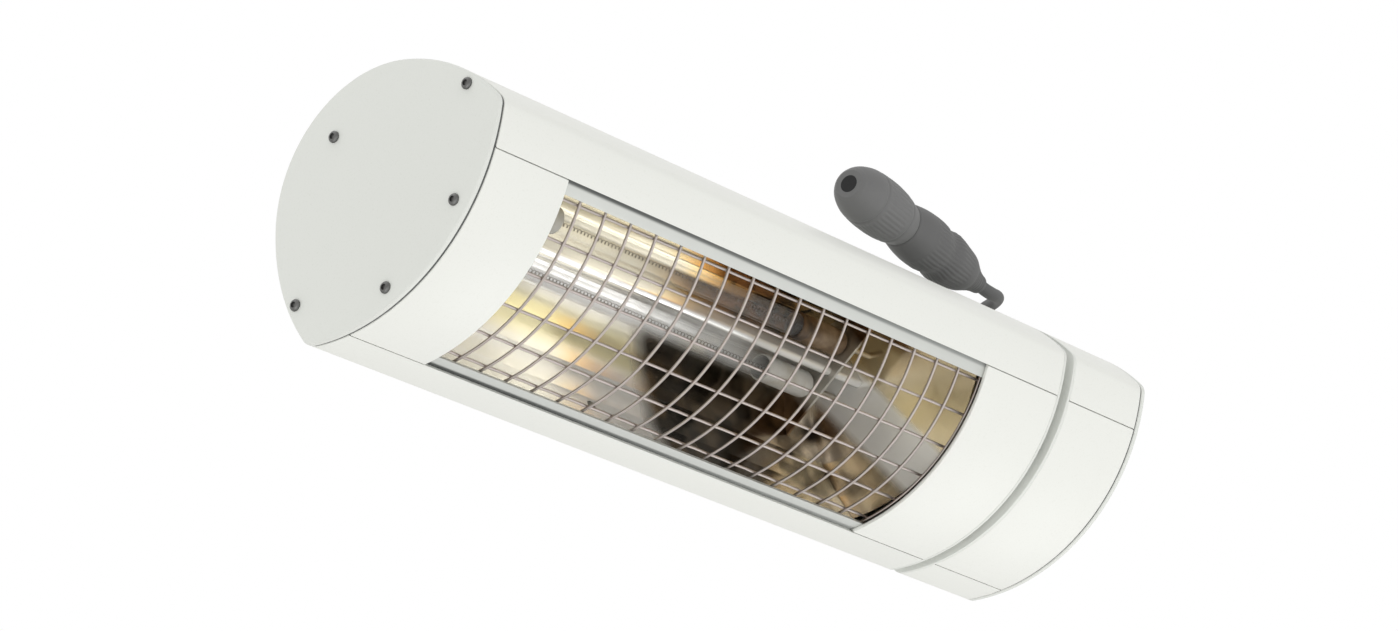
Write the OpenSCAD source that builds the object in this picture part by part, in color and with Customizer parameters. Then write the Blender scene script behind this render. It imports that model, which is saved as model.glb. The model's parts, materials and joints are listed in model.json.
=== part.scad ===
// Infrared patio heat lamp that hangs under a sloping strut: a D-shaped
// extruded body with two quartz tubes behind a wire guard, a terminal housing
// at its far end, a tilting strut clamp on its back and a short lead that
// ends in an in-line coupling. The origin is the middle of the seat on which
// the strut lies. +X runs along the body to the terminal end, +Z is up, and
// the window looks down.

/* [Body] */
// Length over both end plates
body_length = 520; // [480:1:640]
// Width across the body
body_width = 148; // [144:0.5:156]
// Height of the round back above the front corners
rear_height = 86; // [82:0.5:90]
// Depth of the curved front below the front corners
front_depth = 28; // [26:0.5:32]
// Radius of the curved front
front_radius = 108; // [104:0.5:116]
// Half the width less the radius of the round back
back_shoulder = 7.2; // [6:0.2:10]
// Radius of the two long front corners
corner_radius = 7; // [5:0.5:10]
// Wall of the extruded shell
wall = 2.2; // [1.8:0.1:2.8]
// Thickness of each end plate
plate_thickness = 3; // [2:0.5:5]
// Thickness of the seal under each end plate
seal_thickness = 1.2; // [0.8:0.1:2]

/* [Front] */
// Distance from the near end to the window
window_start = 56; // [40:1:70]
// Length of the window
window_length = 330; // [280:1:340]
// Half width of the window, and of the covers, at the seams
seam_half = 55.8; // [53:0.2:58]
// Gap between a cover and the shell
seam_gap = 0.5; // [0.3:0.1:0.8]
// Thickness of the curved covers
cover_thickness = 2; // [1.5:0.1:2.2]
// Thickness of the ledge that the covers rest on
ledge_thickness = 2; // [1.5:0.1:3]
// Width of the ledge inside the seam
ledge_width = 7; // [5:0.5:9]
// Diameter of the guard wire
guard_wire = 1.8; // [1.2:0.1:2.4]
// Spacing of the guard's cross wires
guard_pitch = 18.6; // [14:0.2:24]
// Number of long wires in the guard
guard_long_wires = 6; // [4:1:9]

/* [Terminal end] */
// Length of the terminal housing with its end plate
terminal_length = 65; // [60:1:75]
// Width of the open groove between body and terminal housing
groove_width = 6.5; // [5:0.5:8]
// Thickness of the two bulkheads that face the groove
bulkhead_thickness = 2; // [1.5:0.5:3]

/* [Screws] */
// Shank diameter of the end plate screws
plate_screw = 4; // [3:0.5:5]
// Head diameter of the end plate screws
plate_screw_head = 5.8; // [5.2:0.1:8]
// Distance of the corner screws from the widest point of the side
corner_screw_in = 8; // [7:0.5:10]
// Height of the corner screws above the front corners
corner_screw_up = 22; // [16:1:28]
// Sideways place of the two front screws
front_screw_side = 26; // [20:1:32]
// Depth of the front screws under the curved front
front_screw_in = 9; // [7:0.5:11]
// Depth of the rear screw under the top of the back
rear_screw_in = 18; // [14:1:22]

/* [Lamps and reflector] */
// Half distance between the two tubes
tube_half_spacing = 14; // [13:0.5:15]
// Height of the tubes above the front corners
tube_height = 44; // [43:0.5:46]
// Outer diameter of a quartz tube
tube_diameter = 12; // [10:0.5:12.5]
// Wall of a quartz tube
tube_wall = 1.2; // [0.8:0.1:1.6]
// Diameter of the filament coil
filament_diameter = 2; // [1.2:0.1:3]
// Distance from a window edge to the outer end of a lamp
lamp_inset = 33; // [28:1:45]
// Length of a ceramic lamp cap
cap_length = 38; // [30:1:42]
// Diameter of a ceramic lamp cap
cap_diameter = 14; // [13.4:0.1:15]
// Depth that a tube enters its cap
cap_socket = 20; // [12:1:26]
// Thickness of the reflector sheet
reflector_sheet = 0.8; // [0.6:0.1:1.2]
// Distance of the first rivet row from the near edge of the window
rivet_row_1 = 122; // [110:1:130]
// Distance of the second rivet row from the near edge of the window
rivet_row_2 = 201; // [190:1:215]

/* [Strut clamp] */
// Width of the strut that the clamp takes
strut_width = 15; // [12:0.5:18]
// Height of the strut that the clamp takes
strut_height = 20; // [16:0.5:28]
// Height of the strut seat above the top of the back
stand_off = 56; // [56:1:70]
// Length of the clamp along the strut
clamp_length = 64; // [56:1:80]
// Width of the clamp across the strut
clamp_width = 38; // [38:1:60]
// Thickness of the clamp's base and cap plates
clamp_plate = 6; // [5:0.5:8]
// Thickness of the rubber pads
pad_thickness = 3; // [2:0.5:4]
// Shank diameter of the clamp bolts
clamp_bolt = 5; // [4:0.5:5]
// Diameter of the pivot bolt
pivot_bolt_diameter = 8; // [6:0.5:10]
// Depth of the pivot below the strut seat
pivot_depth = 32; // [31:0.5:34]
// Thickness of the tongue under the clamp
tongue_thickness = 16; // [12:0.5:20]
// Thickness of each ear of the hinge base
ear_thickness = 6; // [5:0.5:8]
// Radius round the pivot of tongue and ears
ear_radius = 16; // [14:0.5:17]
// Diameter of the lock knob
knob_diameter = 32; // [28:1:34]
// Height of the lock knob
knob_height = 19; // [16:0.5:24]

/* [Lead and coupling] */
// Diameter of the lead
lead_diameter = 7; // [6:0.1:8]
// Length of the coupling's socket half
socket_length = 52; // [48:1:60]
// Diameter of the coupling's socket half
socket_diameter = 30; // [28:0.5:32]
// Length of the plug half without its boot
plug_length = 62; // [56:1:66]
// Diameter of the plug half
plug_diameter = 29; // [27:0.5:31]
// Length of the plug's tapered boot
boot_length = 20; // [18:1:26]
// Angle of the coupling to the body, seen from above
coupling_yaw = 8.5; // [7:0.5:10]

/* [Hidden] */

// Clearance of a shank in its hole, on the radius
shank_clear = 0.05;
// Small gap between flat pieces that slide or turn on each other
slide_clear = 0.1;
// Step of the arcs in the body's outline, in degrees
arc_step = 4;

half_width = body_width / 2;
near_x = -body_length / 2;
far_x = body_length / 2;
// Height of the body's corner plane in the part's frame
body_z = -(rear_height + stand_off);

tube_x0 = near_x + plate_thickness + seal_thickness;
terminal_x0 = far_x - terminal_length;
tube_x1 = terminal_x0 - groove_width;
terminal_x1 = far_x - plate_thickness - seal_thickness;
// The two extrusions end at the plates that face the groove
shell_x1 = tube_x1 - bulkhead_thickness;
block_x0 = terminal_x0 + bulkhead_thickness;
window_x0 = near_x + window_start;
window_x1 = window_x0 + window_length;
lamp_x0 = window_x0 + lamp_inset;
lamp_x1 = window_x1 - lamp_inset;

// ---- outline of the body: arcs that meet tangentially, in (y, z) ----
// The sides' arcs meet the back's arc inside it, at the full width and height
top_radius = half_width - back_shoulder;
top_centre = rear_height - top_radius;
side_off = (pow(top_centre, 2) - pow(back_shoulder, 2)) / (2 * back_shoulder);
side_radius = half_width + side_off;
join_angle = atan2(top_centre, side_off);
front_centre = front_radius - front_depth;

function arc_points(centre, r, a0, a1) =
    let (n = max(2, ceil(abs(a1 - a0) / arc_step)))
    [for (i = [0 : n]) let (a = a0 + (a1 - a0) * i / n)
        centre + r * [cos(a), sin(a)]];

// Radius and centre of the rounded front corner, t inside the surface
function corner_r(t) = max(corner_radius - t, 0.5);
function corner_centre(t) =
    let (r_side = side_radius - t - corner_r(t),
         r_front = front_radius - t - corner_r(t),
         link = [side_off, front_centre],
         d = norm(link),
         u = link / d,
         along = (r_side * r_side - r_front * r_front + d * d) / (2 * d),
         across = sqrt(r_side * r_side - along * along))
    [-side_off, 0] + along * u + across * [u[1], -u[0]];

function skip_first(list) = [for (i = [1 : len(list) - 1]) list[i]];

// Outline of the body, t inside its surface
function outline(t) =
    let (c = corner_centre(t),
         a_front = atan2(c[1] - front_centre, c[0]),
         a_side = atan2(c[1], c[0] + side_off),
         rc = corner_r(t),
         rs = side_radius - t)
    concat(
        arc_points(c, rc, a_front, a_side),
        skip_first(arc_points([-side_off, 0], rs, a_side, join_angle)),
        skip_first(arc_points([0, top_centre], top_radius - t,
                              join_angle, 180 - join_angle)),
        skip_first(arc_points([side_off, 0], rs,
                              180 - join_angle, 180 - a_side)),
        skip_first(arc_points([-c[0], c[1]], rc, 180 - a_side, 180 - a_front)),
        [for (p = skip_first(arc_points([0, front_centre], front_radius - t,
                                        180 - a_front, 360 + a_front)))
            if (p[0] < c[0] + rc * cos(a_front) - 0.01) p]
    );

// Height of the front and of the back at a sideways place, t inside
function front_z(y, t = 0) = front_centre - sqrt(pow(front_radius - t, 2) - y * y);
function rear_z(y, t = 0) = top_centre + sqrt(pow(top_radius - t, 2) - y * y);

// The five screw places, as (y, z): two at the corners, two in front, one behind
corner_points = [for (s = [-1, 1]) [s * (half_width - corner_screw_in), corner_screw_up]];
front_points = [for (s = [-1, 1])
    [s * front_screw_side, front_z(front_screw_side) + front_screw_in]];
rear_point = [0, rear_height - rear_screw_in];
screw_points = concat(corner_points, front_points, [rear_point]);
shank_r = plate_screw / 2;
hole_r = shank_r + shank_clear;
port_r = hole_r + 2;
// Length of the guard that lies behind each cover
guard_overlap = 7;

// Extrude an outline drawn in (y, z) from x0 to x1, in the body's frame
module along_x(x0, x1) {
    translate([x0, 0, body_z]) rotate([90, 0, 90]) linear_extrude(x1 - x0) children();
}

// Cylinder along X from x0 to x1 through (y, z) of the body's frame
module rod_x(x0, x1, point, r, sides = 32) {
    translate([x0, point[0], body_z + point[1]]) rotate([0, 90, 0])
        cylinder(r = r, h = x1 - x0, $fn = sides);
}

module holes_2d(points, r) {
    for (p = points) translate(p) circle(r = r, $fn = 24);
}

// Front strip between two sideways places, as a cutter
module front_band(half) {
    translate([-half, -front_depth - 2]) square([2 * half, front_depth + 1]);
}

// ---- housing ----
// Section of the shell: ring, ledges inside the seams, and screw ports
module shell_section() {
    difference() {
        union() {
            difference() {
                polygon(outline(0));
                polygon(outline(wall));
                front_band(seam_half);
            }
            intersection() {
                difference() {
                    polygon(outline(cover_thickness));
                    polygon(outline(cover_thickness + ledge_thickness));
                }
                difference() {
                    front_band(seam_half + 3);
                    front_band(seam_half - ledge_width);
                }
            }
            intersection() {
                union() {
                    for (p = corner_points) translate(p) circle(r = port_r, $fn = 32);
                    translate(rear_point) circle(r = port_r, $fn = 32);
                    translate([-1.5, rear_point[1] + hole_r + 0.5])
                        square([3, rear_screw_in - hole_r - 1]);
                }
                polygon(outline(wall / 2));
            }
        }
        holes_2d(corner_points, hole_r);
        holes_2d([rear_point], hole_r);
    }
}

// Section of a curved cover with its two screw ports
module cover_section() {
    difference() {
        union() {
            intersection() {
                difference() {
                    polygon(outline(0));
                    polygon(outline(cover_thickness));
                }
                front_band(seam_half - seam_gap);
            }
            intersection() {
                for (p = front_points) {
                    translate(p) circle(r = port_r, $fn = 32);
                    translate([p[0] - 1.5, p[1] - front_screw_in])
                        square([3, front_screw_in - hole_r - 0.5]);
                }
                polygon(outline(cover_thickness / 2));
            }
        }
        holes_2d(front_points, hole_r);
    }
}

module rear_shell() color([0.93, 0.93, 0.91]) difference() {
    along_x(tube_x0, shell_x1) shell_section();
    for (p = base_screw_points)
        translate([p[0], p[1], body_z + rear_height - 20])
            cylinder(r = base_screw_r + shank_clear, h = 30, $fn = 24);
}

module terminal_shell() color([0.93, 0.93, 0.91]) difference() {
    along_x(block_x0, terminal_x1) shell_section();
    translate([hood_x, 0, hood_top - 60]) cylinder(r = hood_passage_r, h = 60, $fn = 32);
    for (p = hood_screw_points)
        translate([p[0], p[1], hood_top - 60]) cylinder(r = hood_screw_r + shank_clear, h = 60, $fn = 24);
}

// The ports are cut back where the guard lies behind a cover
module near_front_cover() color([0.94, 0.94, 0.92]) difference() {
    along_x(tube_x0, window_x0) cover_section();
    along_x(window_x0 - guard_overlap - 1.5, window_x0 + 1) polygon(outline(cover_thickness));
}

module far_front_cover() color([0.94, 0.94, 0.92]) difference() {
    along_x(window_x1, shell_x1) cover_section();
    along_x(window_x1 - 1, window_x1 + guard_overlap + 1.5) polygon(outline(cover_thickness));
}

module terminal_front_cover() color([0.94, 0.94, 0.92])
    along_x(block_x0, terminal_x1) cover_section();

module end_plate(x0) color([0.9, 0.91, 0.89])
    along_x(x0, x0 + plate_thickness) difference() {
        polygon(outline(0));
        holes_2d(screw_points, hole_r);
    }

// Flat ring seal, narrower than the wall by its own inset
module plate_seal(x0) color([0.35, 0.35, 0.35])
    along_x(x0, x0 + seal_thickness) difference() {
        polygon(outline(0.6));
        difference() {
            polygon(outline(12));
            for (p = screw_points) translate(p) circle(r = port_r, $fn = 24);
            translate([-3, rear_point[1]]) square([6, rear_screw_in]);
        }
        holes_2d(screw_points, hole_r);
    }

// Screws from outside an end plate; side is -1 at the near end, 1 at the far end
plate_screw_length = 16;
plate_screw_head_height = 1.8;
module plate_screws(face_x, side) color([0.3, 0.3, 0.31])
    for (p = screw_points) {
        x_in = face_x - side * plate_screw_length;
        rod_x(min(x_in, face_x), max(x_in, face_x), p, shank_r, 24);
        x_out = face_x + side * plate_screw_head_height;
        rod_x(min(x_out, face_x), max(x_out, face_x), p, plate_screw_head / 2, 24);
    }

// Plate that closes an extrusion where it faces the groove
module bulkhead(x0) color([0.9, 0.9, 0.88]) difference() {
    along_x(x0, x0 + bulkhead_thickness) difference() {
        polygon(outline(0));
        holes_2d(screw_points, hole_r);
        holes_2d(lead_points, bushing_r + shank_clear);
    }
    if (x0 > tube_x1) {
        rod_x(x0 - 1, x0 + bulkhead_thickness + 1, earth_point, earth_r + shank_clear);
        for (p = block_fix_points)
            rod_x(x0 - 1, x0 + bulkhead_thickness + 1, p, block_screw_r + shank_clear, 24);
    }
}

// Bushes that hold the two housings apart across the groove
spacer_r = 3.6;
module joint_spacers() color([0.2, 0.2, 0.2])
    for (p = screw_points) difference() {
        rod_x(tube_x1, terminal_x0, p, spacer_r);
        rod_x(tube_x1 - 1, terminal_x0 + 1, p, hole_r);
    }

// Studs through the spacers into the ports on both sides
joint_reach = 14;
module joint_bolts() color([0.55, 0.55, 0.56])
    for (p = screw_points)
        rod_x(tube_x1 - joint_reach, terminal_x0 + joint_reach, p, shank_r, 24);

// ---- guard, reflector and lamps ----
wire_r = guard_wire / 2;
guard_inset = cover_thickness + ledge_thickness + wire_r + 0.1;
guard_radius = front_radius - guard_inset;
// Depth that the crossed wires sink into each other where they are welded
weld_depth = 0.3;
guard_half_angle = asin((seam_half - 1.5) / guard_radius);
long_radius = guard_radius - guard_wire + weld_depth;

module wire_guard() color([0.86, 0.84, 0.8]) {
    x0 = window_x0 - guard_overlap;
    x1 = window_x1 + guard_overlap;
    count = floor((x1 - x0 - guard_wire) / guard_pitch);
    first = (x0 + x1) / 2 - count * guard_pitch / 2;
    for (i = [0 : count])
        translate([first + i * guard_pitch, 0, body_z + front_centre])
            rotate([0, 90, 0]) rotate([0, 0, -guard_half_angle])
                rotate_extrude(angle = 2 * guard_half_angle, $fn = 96)
                    translate([guard_radius, 0]) circle(r = wire_r, $fn = 16);
    for (i = [0 : guard_long_wires - 1]) {
        a = guard_half_angle * (2 * (i + 0.5) / guard_long_wires - 1);
        rod_x(x0, x1, [long_radius * sin(a), front_centre - long_radius * cos(a)], wire_r, 16);
    }
}

// Half of the folded reflector line from its rim to the ridge, as (y, z)
rim_inset = guard_inset + wire_r + 0.1;
rim_y = seam_half - 3.6;
ridge_half = 2;
ridge_z = tube_height - 7;
trough_z = tube_height + 13;
half_line = [
    [rim_y, front_z(rim_y + reflector_sheet, rim_inset)],
    [rim_y - 3.2, 8],
    [rim_y - 9.2, 26],
    [rim_y - 18.2, 42],
    [tube_half_spacing + 10, trough_z - 4],
    [tube_half_spacing + 3, trough_z],
    [tube_half_spacing - 3, trough_z],
    [tube_half_spacing - 8, trough_z - 5],
    [ridge_half, ridge_z]
];
function mirrored(line) = [for (i = [len(line) - 1 : -1 : 0]) [-line[i][0], line[i][1]]];
// Shift a line outwards, away from the lamps, by t along its own normals
function unit(v) = v / norm(v);
function left_of(v) = [-v[1], v[0]];
function line_dir(line, i) = unit(line[min(i + 1, len(line) - 1)] - line[min(i, len(line) - 2)]);
function shifted(line, t) = [for (i = [0 : len(line) - 1])
    let (a = left_of(line_dir(line, max(i - 1, 0))),
         b = left_of(line_dir(line, i)),
         m = unit(a + b))
    line[i] - m * (t / max(m * a, 0.3))];
reflector_line = concat(half_line, mirrored(half_line));
function reversed(line) = [for (i = [len(line) - 1 : -1 : 0]) line[i]];

// Place on the outer face of the reflector's side wall: up is the height,
// out the distance outside its inner face
wall_lean = atan2(3.2, 8 - half_line[0][1]);
function side_y(up) = rim_y - tan(wall_lean) * (up - half_line[0][1]);
function side_point(up, out) = [side_y(up) + out * cos(wall_lean), up + out * sin(wall_lean)];

// Length of the reflector that lies behind each cover
reflector_overlap = guard_overlap + 1.2;
rib_thickness = 2;
rib_clear = 0.3;
rib_rows = [window_x0 + rivet_row_1, window_x0 + rivet_row_2];
flange_thickness = 1.5;
flange_length = 10;
rivet_up = 3;
rivet_r = 1.6;
rivet_head_r = 2.6;
rivet_head = 1.2;

// Cylinder square to the reflector's side wall, between two distances outside it
module rivet_rod(x, s, d0, d1, r) {
    translate([x, s * side_y(rivet_up), body_z + rivet_up])
        rotate([-s * (90 - wall_lean), 0, 0]) translate([0, 0, d0]) cylinder(r = r, h = d1 - d0, $fn = 24);
}
rivet_x = [for (x = rib_rows) x + rib_thickness / 2 + flange_length / 2];

module reflector() color([0.82, 0.8, 0.74]) difference() {
    along_x(window_x0 - reflector_overlap, window_x1 + reflector_overlap)
        polygon(concat(reflector_line, reversed(shifted(reflector_line, reflector_sheet))));
    for (x = rivet_x, s = [-1, 1]) rivet_rod(x, s, -3, 6, rivet_r + shank_clear);
}

// Room inside the reflector, kept clear of the sheet
module lamp_room() {
    bottom = [for (i = [-6 : 6]) let (y = i / 6 * (rim_y - 1))
        [y, front_z(y, guard_inset + 2 * guard_wire)]];
    intersection() {
        polygon(concat(reflector_line, bottom));
        polygon(outline(guard_inset + 2 * guard_wire));
    }
}

// Polished end reflector: leans out from the lamp ends to its foot behind a cover
mirror_lean = 14;
mirror_foot = guard_overlap + 0.6;
module end_reflector(edge_x, side) color([0.85, 0.84, 0.8]) difference() {
    intersection() {
        along_x(min(edge_x + side * reflector_overlap, edge_x - side * 40),
                max(edge_x + side * reflector_overlap, edge_x - side * 40)) lamp_room();
        translate([edge_x + side * mirror_foot, 0, body_z - front_depth + 6])
            rotate([0, -side * mirror_lean, 0])
                translate([-reflector_sheet / 2, -60, -10]) cube([reflector_sheet, 120, 110]);
    }
    for (p = lead_points) rod_x(edge_x - 45, edge_x + 45, p, lead_hole_r);
}

module near_end_reflector() end_reflector(window_x0, -1);
module far_end_reflector() end_reflector(window_x1, 1);

// Ribs that carry the reflector inside the shell, each with two riveted flanges
module reflector_ribs() color([0.6, 0.6, 0.6]) difference() {
    for (x = rib_rows) {
        along_x(x - rib_thickness / 2, x + rib_thickness / 2) difference() {
            polygon(outline(wall));
            polygon(concat(shifted(reflector_line, reflector_sheet + rib_clear),
                           [[-rim_y - 2, -60], [rim_y + 2, -60]]));
            front_band(seam_half + 4);
            for (p = corner_points) translate(p) circle(r = port_r + 0.2, $fn = 32);
            translate(rear_point) circle(r = port_r + 0.2, $fn = 32);
            translate([-1.8, rear_point[1]]) square([3.6, rear_screw_in]);
            translate([-base_half_y - 0.4, backing_z - 0.4]) square([2 * base_half_y + 0.8, 40]);
        }
        for (s = [-1, 1]) along_x(x - rib_thickness / 2, x + rib_thickness / 2 + flange_length)
            polygon([for (q = [[-4.5, 0], [4.5, 0], [4.5, flange_thickness], [-4.5, flange_thickness]])
                let (p = side_point(rivet_up + q[0], reflector_sheet + q[1])) [s * p[0], p[1]]]);
    }
    for (x = rivet_x, s = [-1, 1]) rivet_rod(x, s, -3, 8, rivet_r + shank_clear);
}

module reflector_rivets() color([0.25, 0.24, 0.22])
    for (x = rivet_x, s = [-1, 1]) {
        rivet_rod(x, s, -rivet_head, 0, rivet_head_r);
        rivet_rod(x, s, -0.5, reflector_sheet + flange_thickness + 0.5, rivet_r);
        rivet_rod(x, s, reflector_sheet + flange_thickness,
                  reflector_sheet + flange_thickness + rivet_head, rivet_head_r);
    }

// Places of the two lamps, and of the leads at their ends
lead_points = [for (s = [-1, 1]) [s * tube_half_spacing, tube_height]];
lead_r = 1.5;
lead_hole_r = 2.6;
pin_hole_r = 1.8;
bushing_r = 3.4;
bushing_flange = 1.5;

module lamp_cap(x_out, side, point) difference() {
    translate([x_out, point[0], body_z + point[1]]) rotate([0, -side * 90, 0])
        rotate_extrude($fn = 48) intersection() {
            union() {
                translate([0, cap_round]) square([cap_diameter / 2, cap_length - cap_round]);
                square([cap_diameter / 2 - cap_round, cap_round]);
                translate([cap_diameter / 2 - cap_round, cap_round]) circle(r = cap_round, $fn = 48);
            }
            square([cap_diameter, cap_length]);
        }
    x_mouth = x_out - side * cap_length;
    x_stop = x_mouth + side * cap_socket;
    rod_x(min(x_mouth - side, x_stop), max(x_mouth - side, x_stop), point,
          tube_diameter / 2 + shank_clear);
    rod_x(x_out - 60, x_out + 60, point, filament_pin_r);
}
cap_round = 4.5;
filament_pin_r = 0.6;

module lamp_caps() color([0.9, 0.9, 0.88])
    for (p = lead_points) {
        lamp_cap(lamp_x0, -1, p);
        lamp_cap(lamp_x1, 1, p);
    }

// End of a quartz tube inside its cap
quartz_x0 = lamp_x0 + cap_length - cap_socket;
quartz_x1 = lamp_x1 - cap_length + cap_socket;
module quartz_tube(point) color([0.9, 0.93, 0.95, 0.5]) difference() {
    rod_x(quartz_x0, quartz_x1, point, tube_diameter / 2, 48);
    rod_x(quartz_x0 - 1, quartz_x1 + 1, point, tube_diameter / 2 - tube_wall, 48);
}
module quartz_tube_left() quartz_tube(lead_points[0]);
module quartz_tube_right() quartz_tube(lead_points[1]);

module filament(point) color([0.3, 0.29, 0.28]) {
    rod_x(quartz_x0 + 2, quartz_x1 - 2, point, filament_diameter / 2, 24);
    rod_x(lamp_x0 + 2, quartz_x0 + 2.5, point, filament_pin_r - shank_clear, 16);
    rod_x(quartz_x1 - 2.5, lamp_x1 - 2, point, filament_pin_r - shank_clear, 16);
}
module filament_left() filament(lead_points[0]);
module filament_right() filament(lead_points[1]);

// Dark steel plate across the reflector behind the lamp caps
holder_thickness = 1.5;
holder_below = 10;
holder_bottom = tube_height - holder_below;
module lamp_holder(x0) color([0.16, 0.13, 0.1])
    along_x(x0, x0 + holder_thickness) difference() {
        intersection() {
            lamp_room();
            translate([-half_width, holder_bottom]) square([body_width, rear_height]);
        }
        holes_2d(lead_points, pin_hole_r);
    }
module near_lamp_holder() lamp_holder(lamp_x0 - holder_thickness);
module far_lamp_holder() lamp_holder(lamp_x1);

// Wire that joins the two lamps at the near end
link_reach = lamp_inset + reflector_overlap + 4;
link_bar_r = 2.2;
module series_link() color([0.75, 0.72, 0.66]) {
    x = lamp_x0 - link_reach;
    for (p = lead_points) rod_x(x, lamp_x0, p, lead_r, 24);
    translate([x, -tube_half_spacing - 3.5, body_z + tube_height]) rotate([-90, 0, 0])
        cylinder(r = link_bar_r, h = 2 * tube_half_spacing + 7, $fn = 24);
}

// The two supply wires from the far lamp ends to the terminal block
wire_in_block = 12;
module line_leads() color([0.75, 0.72, 0.66])
    for (p = lead_points) rod_x(lamp_x1, block_x0 + wire_in_block, p, lead_r, 24);

// Ceramic bushings where the wires pass the groove between both bulkheads
module wire_bushings() color([0.88, 0.86, 0.8])
    for (p = lead_points) difference() {
        union() {
            rod_x(shell_x1 - bushing_flange, block_x0, p, bushing_r);
            rod_x(shell_x1 - bushing_flange, shell_x1, p, bushing_r + 1.6);
        }
        rod_x(shell_x1 - 10, block_x0 + 10, p, lead_r + shank_clear);
    }

// ---- terminal housing ----
block_length = 20;
block_height = 22;
block_half = 30;
block_screw_r = 1.75;
block_screw_head_r = 3.2;
block_screw_head = 2.4;
block_fix_points = [for (s = [-1, 1]) [s * (block_half - 5), tube_height]];
block_screw_points = [for (y = [-tube_half_spacing, 0, tube_half_spacing])
    [block_x0 + block_length - 10, y]];
module terminal_block() color([0.85, 0.83, 0.76]) difference() {
    translate([block_x0, -block_half, body_z + tube_height - block_height / 2])
        cube([block_length, 2 * block_half, block_height]);
    for (p = lead_points) rod_x(block_x0 - 1, block_x0 + wire_in_block, p, lead_r + shank_clear);
    for (p = block_screw_points)
        translate([p[0], p[1], body_z + tube_height + 3]) cylinder(r = 2.25, h = 40, $fn = 24);
    for (p = block_fix_points)
        rod_x(block_x0 - 1, block_x0 + block_length + 1, p, block_screw_r + shank_clear, 24);
}

module terminal_screws() color([0.7, 0.62, 0.35])
    for (p = block_screw_points)
        translate([p[0], p[1], body_z + tube_height + 3]) cylinder(r = 2.2, h = block_height / 2 - 5, $fn = 24);

module block_screws() color([0.6, 0.6, 0.61])
    for (p = block_fix_points) {
        rod_x(terminal_x0, block_x0 + block_length, p, block_screw_r, 24);
        rod_x(block_x0 + block_length, block_x0 + block_length + block_screw_head, p, block_screw_head_r, 24);
    }

earth_point = [-44, 24];
earth_r = 2.5;
earth_length = 16;
module earth_stud() color([0.72, 0.66, 0.4]) {
    rod_x(terminal_x0 - 1.6, terminal_x0, earth_point, 4.2, 24);
    rod_x(terminal_x0 - 1, block_x0 + earth_length, earth_point, earth_r, 24);
}

module earth_nuts() color([0.75, 0.75, 0.74])
    for (x = [block_x0, block_x0 + 6]) difference() {
        rod_x(x, x + 4, earth_point, 4.6, 6);
        rod_x(x - 1, x + 5, earth_point, earth_r + shank_clear);
    }

// ---- hinge base on the back, and strut clamp ----
base_half_x = 35;
base_half_y = 30;
base_screw_x = 27;
base_screw_y = 21;
base_screw_r = 2.5;
base_top = -(stand_off - 6);
base_screw_points = [for (sx = [-1, 1], sy = [-1, 1]) [sx * base_screw_x, sy * base_screw_y]];
pivot = [0, 0, -pivot_depth];
washer_thickness = 1.5;
ear_inner = tongue_thickness / 2 + washer_thickness;
ear_outer = ear_inner + ear_thickness;
pivot_r = pivot_bolt_diameter / 2;

// Cylinder along Y through the pivot, from y0 to y1
module pivot_rod(y0, y1, r, sides = 48) {
    translate([pivot[0], y0, pivot[2]]) rotate([-90, 0, 0]) cylinder(r = r, h = y1 - y0, $fn = sides);
}

backing_z = rear_z(base_half_y, wall) - 3;
module backing_plate() color([0.62, 0.63, 0.64]) difference() {
    along_x(-base_half_x, base_half_x) difference() {
        intersection() {
            polygon(outline(wall));
            translate([-base_half_y, backing_z]) square([2 * base_half_y, 40]);
        }
        translate([-backing_open, 0]) square([2 * backing_open, 200]);
    }
    for (p = base_screw_points)
        translate([p[0], p[1], body_z]) cylinder(r = base_screw_r + shank_clear, h = 120, $fn = 24);
}
// Half width of the channel that the backing strips leave for the rear screw port
backing_open = 9;

module hinge_base() color([0.92, 0.92, 0.9]) difference() {
    union() {
        difference() {
            translate([-base_half_x, -base_half_y, base_top - 22])
                cube([2 * base_half_x, 2 * base_half_y, 22]);
            along_x(-base_half_x - 1, base_half_x + 1) polygon(outline(0));
        }
        for (s = [-1, 1]) {
            y0 = s > 0 ? ear_inner : -ear_outer;
            pivot_rod(y0, y0 + ear_thickness, ear_radius);
            translate([-ear_radius, y0, base_top - 1])
                cube([2 * ear_radius, ear_thickness, pivot[2] - base_top + 1]);
        }
    }
    pivot_rod(-ear_outer - 1, ear_outer + 1, pivot_r + shank_clear);
    for (p = base_screw_points)
        translate([p[0], p[1], base_top - 40]) cylinder(r = base_screw_r + shank_clear, h = 60, $fn = 24);
}

base_screw_length = 24;
base_screw_head = 3;
module hinge_base_screws() color([0.7, 0.7, 0.71])
    for (p = base_screw_points) {
        translate([p[0], p[1], base_top - base_screw_length])
            cylinder(r = base_screw_r, h = base_screw_length, $fn = 24);
        translate([p[0], p[1], base_top]) cylinder(r = 4.6, h = base_screw_head, $fn = 24);
    }

bolt_head_height = 5.2;
knob_gap = 0.2;
knob_washer_thickness = 1.6;
knob_y0 = ear_outer + knob_washer_thickness + knob_gap;
knob_socket = 14;
module pivot_bolt() color([0.7, 0.7, 0.71]) {
    pivot_rod(-ear_outer - bolt_head_height, -ear_outer, pivot_r * 1.62, 6);
    pivot_rod(-ear_outer, knob_y0 + knob_socket - 1, pivot_r);
}

module friction_washers() color([0.25, 0.25, 0.25])
    for (s = [-1, 1]) {
        y0 = s > 0 ? tongue_thickness / 2 + slide_clear : -ear_inner;
        difference() {
            pivot_rod(y0, y0 + washer_thickness - slide_clear, pivot_r * 3 - 0.5);
            pivot_rod(y0 - 1, y0 + washer_thickness + 1, pivot_r + shank_clear);
        }
    }

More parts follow.
